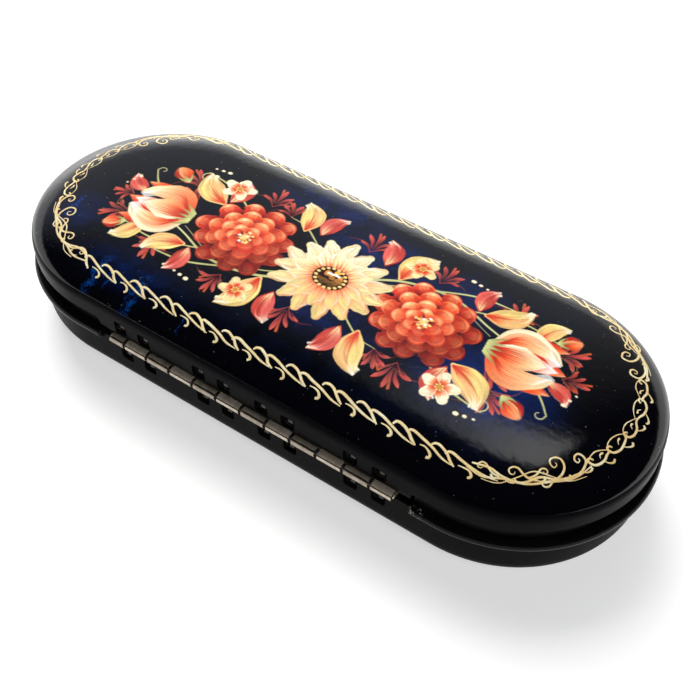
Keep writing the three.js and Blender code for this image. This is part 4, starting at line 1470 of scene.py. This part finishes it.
CAMERA_AZIMUTH = 0.56311
CAMERA_ELEVATION = 0.85031
CAMERA_ROLL = 0.03269
CAMERA_DISTANCE = 224.47
CAMERA_AIM_RIGHT = 5.811
CAMERA_AIM_UP = -8.525
AIM_HEIGHT = 18.0
FOCAL_PIXELS = 956.22
IMAGE_PIXELS = 700
SENSOR = 36.0


def make_camera():
    az, el, roll = CAMERA_AZIMUTH, CAMERA_ELEVATION, CAMERA_ROLL
    back = Vector((math.sin(az) * math.cos(el), -math.cos(az) * math.cos(el), math.sin(el)))
    right = Vector((math.cos(az), math.sin(az), 0))
    up = back.cross(right)
    aim = Vector((0, SHELL_SHIFT, AIM_HEIGHT)) + CAMERA_AIM_RIGHT * right + CAMERA_AIM_UP * up
    tilted_right = math.cos(roll) * right + math.sin(roll) * up
    tilted_up = -math.sin(roll) * right + math.cos(roll) * up
    data = bpy.data.cameras.new("camera")
    data.sensor_width = SENSOR
    data.lens = SENSOR * FOCAL_PIXELS / IMAGE_PIXELS
    data.clip_start, data.clip_end = 0.01, 20
    camera = bpy.data.objects.new("camera", data)
    bpy.context.scene.collection.objects.link(camera)
    spin = Matrix((tilted_right, tilted_up, back)).transposed().to_4x4()
    camera.matrix_world = Matrix.Translation((aim + back * CAMERA_DISTANCE) * MM) @ spin
    bpy.context.scene.camera = camera


make_camera()


# Floor, world and lamps, in metres

FLOOR_HALF = 6.0
FLOOR_Z = -0.00003
FLOOR_GLOW = 0.5
LAMP_TARGET = (0, 0, 0.01)
LAMP_SIZE = 0.6


def make_floor():
    corners = [(x * FLOOR_HALF, y * FLOOR_HALF, FLOOR_Z) for x, y in ((-1, -1), (1, -1), (1, 1), (-1, 1))]
    floor = temp(corners, [(0, 1, 2, 3)])
    floor.name = "floor"
    floor.data.name = "floor"
    n = new_nodes("floor_white")
    colour = n.mix(n.noise(0.4, 2, 0.5), (0.70, 0.70, 0.70), (0.72, 0.72, 0.72))
    level = n.remap(n.length(n.coords()), 250.0, 900.0, FLOOR_GLOW, 1.0)
    glow = n.add("ShaderNodeEmission", Color=(1, 1, 1), Strength=n.times(n.seen(), level))
    both = n.add("ShaderNodeAddShader", _0=n.add("ShaderNodeBsdfDiffuse", Color=colour), _1=glow)
    floor.data.materials.append(n.finish(both))


def make_world():
    """A studio: white along the horizon, a long low window at the far left, a soft panel overhead."""
    n = Nodes(bpy.data.worlds.new("studio"))
    x, y, z = n.xyz(n.add("ShaderNodeTexCoord", out=0))
    far = n.plus(n.times(x, -0.6), n.times(y, 0.8))
    horizon = n.fade(n.math("DIVIDE", z, n.remap(far, -0.3, 0.9, 0.11, 0.34)), 0.35, 1.0)
    ceiling = n.remap(far, 0.42, 0.85, 0.004, 0.42)
    window = n.times(n.fade(z, 0.14, 0.32), n.remap(far, 0.75, 0.95, 0.0, 1.6))
    panel_x = n.times(n.remap(x, -0.40, -0.02), n.fade(x, 0.05, 0.085))
    panel_y = n.times(n.remap(y, 0.29, 0.36), n.fade(y, 0.46, 0.56))
    panel = n.times(panel_x, panel_y, n.remap(z, 0.5, 0.6), 2.0)
    backdrop = n.fade(n.math("DIVIDE", z, n.remap(far, -0.6, 0.4, 0.12, 0.40)), 0.8, 1.0)
    total = n.plus(n.most(horizon, n.times(backdrop, n.seen()), ceiling), window, panel)
    glow = n.add("ShaderNodeBackground", Color=(1, 1, 1), Strength=total)
    bpy.context.scene.world = n.finish(glow, "World")


def make_lamp(name, location, watts, colour):
    """A soft square lamp, which doesn't show in glossy surfaces."""
    data = bpy.data.lights.new(name, "AREA")
    data.shape = "RECTANGLE"
    data.size = data.size_y = LAMP_SIZE
    data.energy = watts
    data.color = colour
    lamp = bpy.data.objects.new(name, data)
    bpy.context.scene.collection.objects.link(lamp)
    lamp.rotation_mode = "QUATERNION"
    lamp.rotation_quaternion = (Vector(LAMP_TARGET) - Vector(location)).to_track_quat("-Z", "Y")
    lamp.location = location
    lamp.visible_glossy = False


make_floor()
make_world()
make_lamp("key", (-0.42, 0.38, 0.72), 10.5, (1.0, 0.99, 0.97))
make_lamp("fill", (0.55, -0.45, 0.75), 3.4, (0.97, 0.98, 1.0))
bpy.context.scene.view_settings.view_transform = "Standard"
